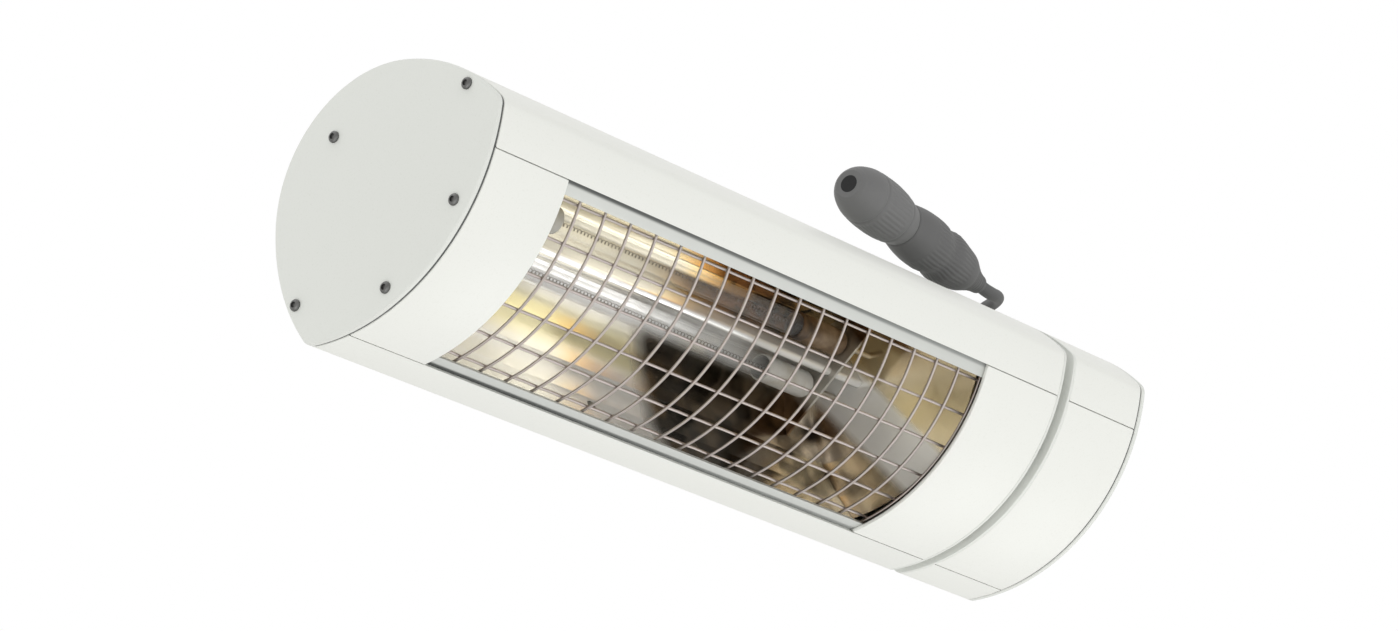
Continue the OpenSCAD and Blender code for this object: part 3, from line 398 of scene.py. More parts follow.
class Pattern:
    """Short ways to lay and join the nodes of a tree."""

    def __init__(self, tree):
        self.tree = tree

    def node(self, kind, **values):
        """A node whose properties or inputs have these values."""
        n = self.tree.nodes.new(kind)
        for key, value in values.items():
            if hasattr(n, key):
                setattr(n, key, value)
            else:
                n.inputs[key.replace("_", " ")].default_value = value
        return n

    def link(self, a, b):
        """Joins output a to input b."""
        self.tree.links.new(a, b)

    def set(self, socket, value):
        """Joins an output to the socket, or sets the socket to a constant."""
        if hasattr(value, "is_linked"):
            self.link(value, socket)
        else:
            socket.default_value = value

    def ramp(self, factor, stops):
        """Colours at places from 0 to 1, straight between them."""
        r = self.node("ShaderNodeValToRGB")
        e = r.color_ramp.elements
        while len(e) < len(stops):
            e.new(0.5)
        for k, (place, colour) in enumerate(stops):
            e[k].position = place
            e[k].color = colour
        self.link(factor, r.inputs["Fac"])
        return r.outputs["Color"]

    def blend(self, factor, a, b, mode="MIX"):
        """Colour a where the factor is 0, and b laid on it in that mode where it is 1."""
        m = self.node("ShaderNodeMix", data_type="RGBA", blend_type=mode)
        for key, value in ((0, factor), (6, a), (7, b)):
            self.set(m.inputs[key], value)
        return m.outputs[2]

    def maths(self, operation, a, b=0.5):
        """One step of arithmetic."""
        m = self.node("ShaderNodeMath", operation=operation)
        for key, value in enumerate((a, b)):
            self.set(m.inputs[key], value)
        return m.outputs[0]

    def scaled(self, value, factor, start=0.0):
        """The value times the factor, plus start."""
        return self.maths("ADD", self.maths("MULTIPLY", value, factor), start)

    def span(self, value, low, high):
        """A value of 0 to 1 carried to low to high."""
        m = self.node("ShaderNodeMapRange", To_Min=low, To_Max=high)
        self.link(value, m.inputs["Value"])
        return m.outputs["Result"]


class Finish(Pattern):
    """A node material with a Principled shader, whose patterns read Object coordinates."""

    def __init__(self, name, slot, colour, rough, metal=0.0, **sockets):
        self.slot = slot
        self.material = bpy.data.materials.new(name)
        self.material.use_nodes = True
        super().__init__(self.material.node_tree)
        self.shader = self.tree.nodes["Principled BSDF"]
        for key, value in dict(sockets, Base_Color=colour, Roughness=rough, Metallic=metal).items():
            self.shader.inputs[key.replace("_", " ")].default_value = value
        self.coord = self.node("ShaderNodeTexCoord")
        self.height = None

    def position(self):
        """X, Y and Z of the Object coordinates, in metres."""
        split = self.node("ShaderNodeSeparateXYZ")
        self.link(self.coord.outputs["Object"], split.inputs[0])
        return split.outputs

    def noise(self, scale, detail, stretch=(1, 1, 1), rough=0.55):
        """Soft noise of that scale, closer together along an axis where stretch is above 1."""
        m = self.node("ShaderNodeMapping", Scale=stretch)
        self.link(self.coord.outputs["Object"], m.inputs["Vector"])
        n = self.node("ShaderNodeTexNoise", Scale=scale, Detail=detail, Roughness=rough)
        self.link(m.outputs["Vector"], n.inputs["Vector"])
        return n.outputs["Fac"]

    def paint(self, colour):
        """Joins a colour to the shader."""
        self.link(colour, self.shader.inputs["Base Color"])

    def gloss(self, value, low, high):
        """Roughness from low to high by a value of 0 to 1."""
        self.link(self.span(value, low, high), self.shader.inputs["Roughness"])

    def bump(self, value, strength, distance):
        """Adds a bump, on top of the one before it."""
        b = self.node("ShaderNodeBump", Strength=strength, Distance=distance)
        self.link(value, b.inputs["Height"])
        if self.height is not None:
            self.link(self.height, b.inputs["Normal"])
        self.height = b.outputs["Normal"]
        self.link(self.height, self.shader.inputs["Normal"])


def powder_coat(name, slot, colour, rough=0.42):
    """Satin powder coat: fine orange peel, faint cloudiness and a little dust."""
    f = Finish(name, slot, colour, rough, IOR=1.48)
    cloud = f.noise(9, 3)
    fine = f.noise(160, 4)
    base = f.blend(f.span(cloud, 0.0, 0.55), shade(colour, 0.965), colour)
    specks = f.ramp(f.noise(900, 2), [(0.30, (0.90, 0.90, 0.88, 1.0)), (0.42, WHITE)])
    f.paint(f.blend(0.35, base, specks, "MULTIPLY"))
    f.gloss(fine, rough - 0.06, rough + 0.08)
    f.bump(f.noise(700, 2), 0.12, 0.00012)
    f.bump(f.noise(2600, 2), 0.06, 0.00005)
    return f


def bare_metal(name, slot, colour, rough, grain, worn=0.85, strength=0.15):
    """Bare metal with drawn lines along one axis and slight tone changes."""
    f = Finish(name, slot, colour, rough, 1.0)
    lines = f.noise(1.0, 4, grain, 0.6)
    tone = f.noise(60, 3)
    f.paint(f.blend(tone, shade(colour, worn), colour))
    f.gloss(lines, max(0.05, rough - 0.08), rough + 0.12)
    f.bump(lines, strength, 0.00006)
    return f


def moulded(name, slot, colour, rough, grain=1400, strength=0.25):
    """Moulded rubber or plastic: fine matt grain and faint rubbed patches."""
    f = Finish(name, slot, colour, rough, IOR=1.45)
    patch = f.noise(35, 4)
    f.paint(f.blend(patch, shade(colour, 0.9), shade(colour, 1.06)))
    f.gloss(patch, rough - 0.07, rough + 0.07)
    f.bump(f.noise(grain, 3), strength, 0.0001)
    return f


def bare_ledge():
    """Bare ledge of the window, with a dark line of painted shade at its outer edge that pales along X."""
    pale = linear(208, 210, 206)
    f = bare_metal("bare aluminium ledge with painted shade line", "body_paint", pale, 0.5, (12, 700, 700), 0.93, 0.1)
    f.shader.inputs["Metallic"].default_value = 0.35
    metal = f.shader.inputs["Base Color"].links[0].from_socket
    place = f.position()
    # Painted shade: the ledge's outer edge is darkened where the shell's step shades it, darkest at the near
    # end.
    edge = f.ramp(f.scaled(f.maths("ABSOLUTE", place["Y"]), 10.0), [(0.53, BLACK), (0.54, WHITE)])
    line = f.ramp(f.scaled(place["X"], 2.0, 0.5), [(0.2, linear(96, 98, 97)), (0.8, linear(166, 168, 166))])
    f.paint(f.blend(edge, metal, line))
    return f


def lamp_mirror():
    """Polished mirror sheet with painted reflections. The near part is painted bright: cream
    on the left wall, white in the middle and one yellow stripe. Farther on, both walls
    carry painted dark reflections and are more satin: gold and brown with dark spots on
    the left, dark brown with darker patches on the right, and tan at the far end. A faint
    cloud moves all these places a little."""
    f = Finish("polished lamp mirror", "mirror_aluminium", linear(236, 229, 208), 0.1, 1.0)
    place = f.position()
    cloud = f.noise(13, 3, (0.4, 1.4, 1.4))

    def clouded(axis, factor, shift, start):
        line = f.maths("ADD", f.maths("MULTIPLY", place[axis], factor), f.maths("MULTIPLY", cloud, shift))
        return f.maths("ADD", line, start)

    across, along = clouded("Y", 9.0, 0.06, 0.47), clouded("X", 5.0, 0.14, 0.43)
    cream, white, yellow = linear(252, 245, 222), linear(255, 254, 252), linear(250, 242, 200)
    # Painted reflection: across the trough, bands of cream, white and one yellow stripe stand for bright
    # surroundings mirrored in the near part.
    painted_reflection_bands = f.ramp(across, [
        (0.02, cream), (0.41, cream), (0.46, white), (0.66, white), (0.71, linear(250, 248, 246)),
        (0.78, yellow), (0.84, yellow), (0.88, white), (0.97, white)])
    far = f.ramp(along, [(0.34, BLACK), (0.42, WHITE)])
    tint = f.blend(far, painted_reflection_bands, linear(236, 236, 233))
    # Painted reflection of dark surroundings on the right wall of the far part: dark brown into tan, with
    # darker patches.
    right = f.ramp(along, [
        (0.34, linear(178, 146, 96)), (0.42, linear(126, 100, 68)), (0.52, linear(96, 80, 62)),
        (0.74, linear(112, 98, 82)), (0.84, linear(170, 154, 134)), (0.92, linear(212, 200, 182)),
        (1.0, linear(232, 224, 212))])
    dark_reflection_patches = f.ramp(f.noise(34, 2), [(0.44, linear(92, 84, 80)), (0.55, WHITE)])
    right = f.blend(1.0, right, dark_reflection_patches, "MULTIPLY")
    # Painted reflection of dark surroundings on the left wall of the far part: gold and brown with
    # near-black spots.
    left = f.ramp(along, [
        (0.4, linear(236, 212, 158)), (0.5, linear(206, 160, 88)), (0.62, linear(172, 124, 66)),
        (0.76, linear(178, 134, 76)), (0.88, linear(222, 198, 148)), (1.0, linear(240, 226, 196))])
    blotch = f.ramp(f.noise(55, 2), [(0.43, linear(34, 26, 20)), (0.5, WHITE)])
    blotched = f.ramp(along, [(0.5, BLACK), (0.6, WHITE), (0.86, WHITE), (0.92, BLACK)])
    left = f.blend(blotched, left, f.blend(1.0, left, blotch, "MULTIPLY"))
    side = f.scaled(place["Y"], 10.0, 0.5)
    # heat holds both walls' painted dark reflections, and the mask below lays them on the walls of the far
    # part.
    heat = f.blend(f.ramp(side, [(0.48, BLACK), (0.52, WHITE)]), left, right)
    walls = f.ramp(side, [(0.43, WHITE), (0.47, BLACK), (0.7, BLACK), (0.76, WHITE)])
    painted_reflection_mask = f.maths("MULTIPLY", far, walls)
    streak = f.noise(1.0, 3, (5, 260, 260), 0.5)
    f.paint(f.blend(f.span(streak, 0.0, 0.1), f.blend(painted_reflection_mask, tint, heat), linear(222, 212, 190)))
    satin = f.ramp(along, [(0.34, grey(0.7)), (0.5, grey(0.3))])
    f.link(f.blend(painted_reflection_mask, satin, WHITE), f.shader.inputs["Metallic"])
    f.gloss(streak, 0.1, 0.22)
    f.bump(f.noise(26, 2, (0.4, 1.5, 1.5)), 0.14, 0.001)
    return f


def scorched_steel():
    """Steel of the lamp holders: brown from heat, and pale in the middle between the lamps."""
    f = Finish("heat-browned steel", "scorched_steel", linear(74, 58, 44), 0.42, 1.0)
    burn = f.noise(45, 4)
    brown = f.ramp(burn, [
        (0.32, linear(40, 31, 25)), (0.5, linear(98, 74, 52)), (0.66, linear(142, 116, 88))])
    outer = f.ramp(f.scaled(f.maths("ABSOLUTE", f.position()["Y"]), 20.0), [(0.36, BLACK), (0.48, WHITE)])
    f.paint(f.blend(outer, linear(206, 203, 196), brown))
    f.gloss(burn, 0.35, 0.62)
    f.bump(f.noise(500, 3), 0.2, 0.00008)
    return f


def lamp_ceramic():
    """White ceramic with faint stains, browned by heat where Y is below and X above 0."""
    f = Finish("white lamp ceramic", "ceramic", linear(238, 236, 229), 0.52, IOR=1.5)
    stain = f.noise(55, 4)
    pale = f.ramp(stain, [
        (0.28, linear(168, 160, 144)), (0.46, linear(190, 188, 181)), (0.7, linear(200, 198, 193))])
    brown = f.ramp(stain, [
        (0.34, linear(48, 38, 30)), (0.5, linear(104, 82, 58)), (0.68, linear(150, 130, 104))])
    place = f.position()
    left = f.ramp(f.scaled(place["Y"], 20.0), [(0.0, WHITE), (0.1, BLACK)])
    far = f.ramp(f.scaled(place["X"], 20.0), [(0.0, BLACK), (0.1, WHITE)])
    f.paint(f.blend(f.maths("MULTIPLY", left, far), pale, brown))
    f.gloss(stain, 0.42, 0.6)
    f.bump(f.noise(1200, 3), 0.2, 0.0001)
    return f


def clear_quartz():
    """Thin clear wall: nearly see-through face on, milkier at the tube's edges."""
    f = Finish("clear quartz", "quartz", linear(252, 252, 249), 0.05, IOR=1.46)
    rim = f.node("ShaderNodeLayerWeight", Blend=0.42)
    mist = f.noise(40, 3, (0.3, 1, 1))
    veil = f.ramp(rim.outputs["Facing"], [(0.0, grey(0.03)), (0.6, grey(0.07)), (0.97, grey(0.4))])
    f.link(f.maths("MULTIPLY", veil, f.span(mist, 0.75, 1.1)), f.shader.inputs["Alpha"])
    f.gloss(mist, 0.03, 0.14)
    f.bump(f.noise(60, 2, (0.25, 1, 1)), 0.06, 0.0004)
    return f


FINISHES = {}


def make_finishes(p):
    """Every finish of the lamp, by a maker's plain name."""
    body, plate, coupling = (tuple(colour) + (1.0,) for colour in (p.body, p.plate, p.coupling))
    even, fine, finest = (300, 300, 300), (700, 700, 700), (900, 900, 900)
    FINISHES.update({
        "body": powder_coat("body powder coat", "body_paint", body),
        "ledge": bare_ledge(),
        # Painted shade: the end plates' coat is a grey darker than the body's, for the shade on plates that
        # face away from the light.
        "plate": powder_coat("end plate powder coat", "plate_paint", plate, 0.45),
        "bracket": powder_coat("bracket powder coat", "bracket_paint", linear(228, 228, 223), 0.4),
        "seal": moulded("grey seal rubber", "seal_rubber", linear(92, 93, 93), 0.8),
        "pad": moulded("clamp pad rubber", "seal_rubber", linear(38, 38, 39), 0.82, 700, 0.4),
        "dark_steel": bare_metal("dull steel", "dark_steel", linear(120, 120, 119), 0.4, even),
        "zinc": bare_metal("zinc plated steel", "zinc_steel", linear(165, 167, 170), 0.36, even),
        "stainless": bare_metal("stainless steel", "stainless_steel", linear(190, 191, 194), 0.26, fine),
        "brass": bare_metal("terminal brass", "terminal_brass", linear(200, 168, 92), 0.3, (400, 400, 400)),
        "nickel": bare_metal("nickel wire", "nickel_wire", linear(186, 178, 166), 0.34, (30, 900, 900)),
        "guard": bare_metal("bright welded wire", "guard_wire", linear(184, 175, 170), 0.42, fine, 0.88),
        "filament": bare_metal("tungsten coil", "filament_wire", linear(118, 110, 104), 0.5, finest),
        "lead": moulded("lead rubber", "lead_rubber", linear(92, 92, 92), 0.62, 1800, 0.2),
        "coupling": moulded("coupling rubber", "coupling_rubber", coupling, 0.58, 1500, 0.3),
        # Painted light: the socket half is the coupling rubber made 1.3 times lighter, for the light falling
        # on it.
        "socket": moulded("socket rubber painted lighter", "coupling_rubber", shade(coupling, 1.3), 0.56, 1500, 0.3),
        "gland": moulded("gland plastic", "gland_plastic", linear(84, 84, 86), 0.5, 1600, 0.15),
        "knob": moulded("knob plastic", "black_plastic", linear(36, 36, 38), 0.5, 1300, 0.3),
        "mirror": lamp_mirror(),
        "scorched": scorched_steel(),
        "ceramic": lamp_ceramic(),
        "quartz": clear_quartz(),
    })


# --------------------------------------------------------- pieces with finish
def finish_node(node, key):
    """Gives a CAD node its finish."""
    f = FINISHES[key]
    NODES[node].data.materials.clear()
    NODES[node].data.materials.append(f.material)


def smooth_but(mesh, degrees):
    """Smooth shading, but for edges sharper than the angle."""
    mesh.polygons.foreach_set("use_smooth", np.ones(len(mesh.polygons), bool))
    mesh.set_sharp_from_angle(angle=math.radians(degrees))


def piece(name, shape, key, body="lamp", stands_for=(), sharp=32.0):
    """A new piece from points in mm and faces, with its finish, body and CAD nodes."""
    points, faces = shape
    mesh = bpy.data.meshes.new(name)
    mesh.from_pydata((np.asarray(points) * MM).tolist(), [], faces)
    mesh.validate()
    mesh.update()
    smooth_but(mesh, sharp)
    made = bpy.data.objects.new(name, mesh)
    bpy.context.scene.collection.objects.link(made)
    mesh.materials.append(FINISHES[key].material)
    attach(made, body)
    if stands_for:
        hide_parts(*stands_for)
    return made


def soften(node, key, width, segments=2):
    """A merged copy of a CAD node with its finish, its sharp edges rounded by a bevel."""
    mesh = NODES[node].data.copy()
    mesh.name = node + "_eased"
    work = bmesh.new()
    work.from_mesh(mesh)
    bmesh.ops.remove_doubles(work, verts=work.verts, dist=1e-6)
    bmesh.ops.dissolve_limit(work, angle_limit=math.radians(1.0), verts=work.verts, edges=work.edges)
    work.to_mesh(mesh)
    work.free()
    for name in [a.name for a in mesh.attributes if a.name in ("custom_normal", "sharp_edge", "sharp_face")]:
        mesh.attributes.remove(mesh.attributes[name])
    made = bpy.data.objects.new(node + "_eased", mesh)
    bpy.context.scene.collection.objects.link(made)
    bevel = made.modifiers.new("rounded edges", "BEVEL")
    bevel.width = width * MM
    bevel.segments = segments
    bevel.limit_method = "ANGLE"
    bevel.angle_limit = math.radians(35)
    bevel.use_clamp_overlap = True
    smooth_but(mesh, 35)
    bevel.harden_normals = True
    mesh.materials.clear()
    mesh.materials.append(FINISHES[key].material)
    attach(made, NODES[node]["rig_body"])
    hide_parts(node)
    return made


# ------------------------------------------------------------ property groups
class HEATLAMP_PG_finishes(bpy.types.PropertyGroup):
    body: bpy.props.FloatVectorProperty(
        name="Body colour", description="Colour of the body's powder coat",
        subtype="COLOR", size=3, default=linear(236, 237, 232)[:3], min=0, max=1)
    # Its default is darker than the body's colour, as painted shade on the end plates.
    plate: bpy.props.FloatVectorProperty(
        name="Plate colour", description="Colour of the end plates' powder coat",
        subtype="COLOR", size=3, default=linear(224, 226, 221)[:3], min=0, max=1)
    coupling: bpy.props.FloatVectorProperty(
        name="Coupling colour", description="Colour of the coupling's rubber",
        subtype="COLOR", size=3, default=linear(98, 98, 98)[:3], min=0, max=1)


class HEATLAMP_PG_sizes(bpy.types.PropertyGroup):
    rim: bpy.props.FloatProperty(
        name="Rim rounding", description="Rounding of the shells' cut ends",
        subtype="DISTANCE", unit="LENGTH", default=0.0004, min=0.0001, max=0.001)
    bend: bpy.props.FloatProperty(
        name="Mirror bend", description="Inner radius of the mirror's folds",
        subtype="DISTANCE", unit="LENGTH", default=0.0025, min=0.0005, max=0.006)
    coil_pitch: bpy.props.FloatProperty(
        name="Filament pitch", description="Distance between turns of a filament",
        subtype="DISTANCE", unit="LENGTH", default=0.0026, min=0.0015, max=0.006)
    wire: bpy.props.FloatProperty(
        name="Guard wire", description="Diameter of the guard's wires",
        subtype="DISTANCE", unit="LENGTH", default=0.0015, min=0.0012, max=0.0018)


class HEATLAMP_PG_stage(bpy.types.PropertyGroup):
    lens: bpy.props.FloatProperty(
        name="Lens", description="Focal length of the camera",
        subtype="DISTANCE_CAMERA", default=142.0, min=20, max=400)
    key_light: bpy.props.FloatProperty(
        name="Key light", description="Power of the soft key light",
        subtype="POWER", unit="POWER", default=9.6, min=0, max=200)
    ambient: bpy.props.FloatProperty(
        name="Ambient", description="Strength of the even light all round",
        default=0.88, min=0, max=2)


# ------------------------------------------------------------------- the stage
def aimed_camera(lens):
    """Camera that looks along the lamp from below its near end, well back, so that
    both ends come out nearly the same width. Its axes are columns of its matrix."""
    right, down = Vector((0.6184, -0.6053, -0.5013)), Vector((0.2628, 0.7604, -0.594))
    aim = Vector((0.7406, 0.2356, 0.6292))
    data = bpy.data.cameras.new("camera")
    data.lens, data.sensor_width, data.sensor_fit = lens, 36, "HORIZONTAL"
    data.clip_start, data.clip_end = 0.05, 60
    camera = bpy.data.objects.new("camera", data)
    bpy.context.scene.collection.objects.link(camera)
    m = Matrix.Identity(4)
    for k, axis in enumerate((right, -down, -aim)):
        m[0][k], m[1][k], m[2][k] = axis
    m.translation = Vector((-2.014, -0.6369, -1.8034))
    camera.matrix_world = m
    bpy.context.scene.camera = camera


def soft_light(name, where, size, power, colour=(1, 1, 1)):
    """Round soft light that looks at the middle of the lamp."""
    middle = Vector((0, 0, -0.1))
    light = bpy.data.lights.new(name, "AREA")
    light.shape, light.size, light.energy, light.color = "DISK", size, power, colour
    placed = bpy.data.objects.new(name, light)
    bpy.context.scene.collection.objects.link(placed)
    placed.location = where
    placed.rotation_mode = "QUATERNION"
    placed.rotation_quaternion = (middle - Vector(where)).to_track_quat("-Z", "Y")


def pale_floor():
    """Wide floor far below the lamp. To the camera it glows three quarters nearly white and
    keeps a quarter of its own shade, and so the lamp's shadow; metal sees it all white."""
    half, z = 40.0, -6.5
    mesh = bpy.data.meshes.new("floor")
    corners = [(-half, -half, z), (half, -half, z), (half, half, z), (-half, half, z)]
    mesh.from_pydata(corners, [], [(0, 1, 2, 3)])
    floor = bpy.data.objects.new("floor", mesh)
    bpy.context.scene.collection.objects.link(floor)
    f = Finish("pale floor", "body_paint", linear(240, 240, 239), 0.7)
    f.paint(f.blend(f.noise(1.2, 3), linear(238, 238, 237), linear(242, 242, 241)))
    ray = f.node("ShaderNodeLightPath").outputs
    glow = f.node("ShaderNodeEmission", Strength=1.0, Color=(1, 1, 0.995, 1))
    either = f.node("ShaderNodeMixShader")
    mirrored = f.maths("MAXIMUM", ray["Is Glossy Ray"], ray["Is Transmission Ray"])
    f.link(f.maths("MAXIMUM", mirrored, f.maths("MULTIPLY", ray["Is Camera Ray"], 0.75)), either.inputs[0])
    f.link(f.shader.outputs[0], either.inputs[1])
    f.link(glow.outputs[0], either.inputs[2])
    f.link(either.outputs[0], f.tree.nodes["Material Output"].inputs["Surface"])
    mesh.materials.append(f.material)
    return floor


def pale_surroundings(ambient):
    """White to the camera, an even pale light to the object, and to metal a pale ground
    and sky with a darker band between them."""
    world = bpy.data.worlds.new("pale surroundings")
    world.use_nodes = True
    bpy.context.scene.world = world
    t = Pattern(world.node_tree)
    ray = t.node("ShaderNodeLightPath").outputs
    split = t.node("ShaderNodeSeparateXYZ")
    t.link(t.node("ShaderNodeTexCoord").outputs["Generated"], split.inputs[0])
    height = t.node("ShaderNodeMapRange", From_Min=-1, From_Max=1)
    t.link(split.outputs["Z"], height.inputs["Value"])
    stops = [(place, (tone, tone * 0.99, tone * 0.965, 1))
             for place, tone in ((0.38, 0.97), (0.47, 0.62), (0.54, 0.58), (0.64, 0.9))]
    band = t.ramp(height.outputs["Result"], [(0.0, (1, 1, 0.99, 1))] + stops + [(1.0, WHITE)])
    even = t.blend(ray["Is Glossy Ray"], (ambient, ambient, ambient * 0.995, 1), band)
    seen = t.maths("MAXIMUM", ray["Is Camera Ray"], ray["Is Transmission Ray"])
    back = t.tree.nodes["Background"]
    back.inputs["Strength"].default_value = 1.0
    t.link(t.blend(seen, even, WHITE), back.inputs["Color"])


# ------------------------------------------------------------------ operators
class HEATLAMP_OT_stage(bpy.types.Operator):
    """Camera, soft light, pale floor and pale surroundings"""
    bl_idname = "heatlamp.stage"
    bl_label = "Stage"

    def execute(self, context):
        p = context.scene.heatlamp_stage
        context.scene.view_settings.view_transform = "Standard"
        aimed_camera(p.lens)
        soft_light("key light", (0.5, -0.9, -1.9), 2.2, p.key_light)
        soft_light("fill light", (-1.7, 0.5, -0.9), 1.5, p.key_light * 0.55, (1.0, 0.99, 0.97))
        soft_light("top light", (-0.6, -0.9, 2.0), 1.6, p.key_light * 0.5)
        soft_light("mirror light", (1.55, 0.7, -1.35), 1.3, p.key_light * 0.6)
        floor = pale_floor()
        pale_surroundings(p.ambient)
        return {"FINISHED"}


class HEATLAMP_OT_lead(bpy.types.Operator):
    """Rubber lead from the gland to the coupling, and the coupling's two halves"""
    bl_idname = "heatlamp.lead"
    bl_label = "Lead and coupling"

    def execute(self, context):
        path = smooth_line(np.array(LEAD_ROUTE), 61)
        lead = piece("lead_sheath", tube(path / MM, LEAD_R, 24), "lead", "lamp", ["lamp_lead"])

        # Plug: a slim boot with rings that swells to a fluted grip
        yaw = math.radians(COUPLING_YAW)
        along = np.array([-math.cos(yaw), -math.sin(yaw), 0])
        tip = np.array(LEAD_ROUTE[-1]) / MM
        s, r = softened([
            (0, 4.4), (0.6, 5.0), (4, 5.5), (9, 6.8), (15, 9.2), (20, 11.3), (28, 12.6), (34, 13.6),
            (39, 14.3), (46, 12.5), (53, 14.3), (58, 14.5), (64, 14.5), (71, 13.9), (77, 12.9),
            (81.2, 12.1), (82, 11.6)], PLUG_LENGTH)
        rings = 0.55 * (0.5 + 0.5 * np.cos(2 * np.pi * (s - 2.5) / 2.9))
        r = r - np.where((s > 2.5) & (s < 17), rings, 0)
        plug = piece("plug_body", fluted(s, r, tip, along, (24, 66)), "coupling", "lamp", ["coupling_plug"])

        # Socket half: waist, lip, grip and domed cable end, with two fine grooves
        seat = tip + along * (PLUG_LENGTH + 0.1)
        s, r = softened([
            (0, 11.5), (0.8, 12.0), (3, 12.3), (7, 13.4), (13, 14.4), (21, 15.0), (28, 15.0),
            (34, 14.7), (40, 14.0), (46, 12.1), (50, 9.8), (52, 7.5)], SOCKET_LENGTH)
        for groove in (9.5, 35.5):
            r = r - 0.5 * np.exp(-((s - groove) / 0.7) ** 2)
        socket = piece("socket_body", fluted(s, r, seat, along, (12, 34)), "socket", "socket",
                       ["coupling_socket"])

        # Dark entry of the cable end: a short cup set into the end face
        cup = [(52.05, 3.6), (52.05, 4.6), (52.02, 4.6), (52.0, 3.7), (40.0, 3.55), (40.0, 0.4)]
        entry = piece("cable_entry", lathe(cup, seat, along, 32), "pad", "socket")

        for node in ("plug_pins", "socket_contacts"):
            finish_node(node, "brass")
        return {"FINISHED"}


class HEATLAMP_OT_housing(bpy.types.Operator):
    """The long shell and the terminal shell, with their front rails and ledges"""
    bl_idname = "heatlamp.housing"
    bl_label = "Housing shells"

    def execute(self, context):
        rim = context.scene.heatlamp_sizes.rim / MM
        outer = wrap(0, SEAM)
        inner = wrap(WALL, SEAM + 3)[::-1]
        ledge = LEDGE + COVER
        left = np.vstack([front_strip(COVER, -SEAM, -(SEAM - LEDGE_IN), 5),
                          front_strip(ledge, -(SEAM - LEDGE_IN), -(SEAM + 3), 7)])
        right = np.vstack([front_strip(ledge, SEAM + 3, SEAM - LEDGE_IN, 7),
                           front_strip(COVER, SEAM - LEDGE_IN, SEAM, 5)])
        loop = without_doubles(np.vstack([outer, left, inner, right]), True)
        shell = piece("long_shell", prism(loop, TUBE_X0, SHELL_X1, rim), "body", stands_for=["rear_shell"])

        # The ledges that show in the window are left bare: faces near the front
        # between |y| 40 and the seam
        mesh = shell.data
        mesh.materials.append(FINISHES["ledge"].material)
        centre = np.zeros(3 * len(mesh.polygons))
        mesh.polygons.foreach_get("center", centre)
        y, z = np.abs(centre[1::3]) / MM, centre[2::3] / MM - BODY_Z
        bare = (y > 40) & (y < SEAM - 0.05) & (z < 4)
        mesh.polygons.foreach_set("material_index", bare.astype(np.int32))
        piece("end_shell", prism(loop, BLOCK_X0, TERM_X1, rim), "body", stands_for=["terminal_shell"])
        return {"FINISHED"}


class HEATLAMP_OT_covers(bpy.types.Operator):
    """The three curved front covers"""
    bl_idname = "heatlamp.covers"
    bl_label = "Front covers"

    def execute(self, context):
        half = SEAM - GAP
        loop = np.vstack([front_strip(0, -half, half, 73), front_strip(COVER, half, -half, 73)])
        for name, node, x0, x1 in (
                ("near_cover", "near_front_cover", TUBE_X0, WINDOW_X0),
                ("far_cover", "far_front_cover", WINDOW_X1, SHELL_X1),
                ("end_cover", "terminal_front_cover", BLOCK_X0, TERM_X1)):
            piece(name, prism(loop, x0, x1, 0.45), "body", stands_for=[node])
        return {"FINISHED"}


class HEATLAMP_OT_plates(bpy.types.Operator):
    """End plates, groove plates, seals and the button-head screws"""
    bl_idname = "heatlamp.plates"
    bl_label = "Plates, seals and screws"

    def execute(self, context):
        full = without_doubles(wrap(0, 0.001), True)
        for name, node, x0, x1, edge in (
                ("near_plate", "near_end_plate", -PLATE_OUT, -PLATE_IN, 0.8),
                ("far_plate", "far_end_plate", PLATE_IN, PLATE_OUT, 0.8),
                ("groove_plate_a", "tube_bulkhead", SHELL_X1, TUBE_X1, 0.35),
                ("groove_plate_b", "terminal_bulkhead", TERM_X0, BLOCK_X0, 0.35)):
            piece(name, prism(full, x0, x1, edge), "plate", stands_for=[node])
        for node in ("near_plate_seal", "far_plate_seal"):
            finish_node(node, "seal")
        finish_node("joint_spacers", "dark_steel")
        finish_node("joint_bolts", "zinc")

        # Button head of radius 2.9: a low rim, a dome that rises by the sine while its
        # radius falls by the cosine, and a pit for the key
        a = np.radians(np.linspace(0, 68, 7))
        dome = [(0.0, 2.7), (0.15, 2.9), (0.5, 2.9)]
        dome += [(0.5 + 1.25 * math.sin(q) / math.sin(a[-1]),
                  2.9 - 1.35 * (1 - math.cos(q)) / (1 - math.cos(a[-1]))) for q in a[1:]]
        dome += [(1.75, 1.42), (0.75, 1.32), (0.75, 0.05)]
        for name, node, side in (("near_plate_heads", "near_plate_screws", -1),
                                 ("far_plate_heads", "far_plate_screws", 1)):
            feet = [(side * PLATE_OUT, y, z + BODY_Z) for y, z in SCREWS]
            parts = [lathe(dome, foot, (side, 0, 0), 30) for foot in feet]
            parts += [lathe([(0.01, 2.0), (16, 2.0)], foot, (-side, 0, 0), 24) for foot in feet]
            piece(name, joined(parts), "dark_steel", stands_for=[node])
        return {"FINISHED"}


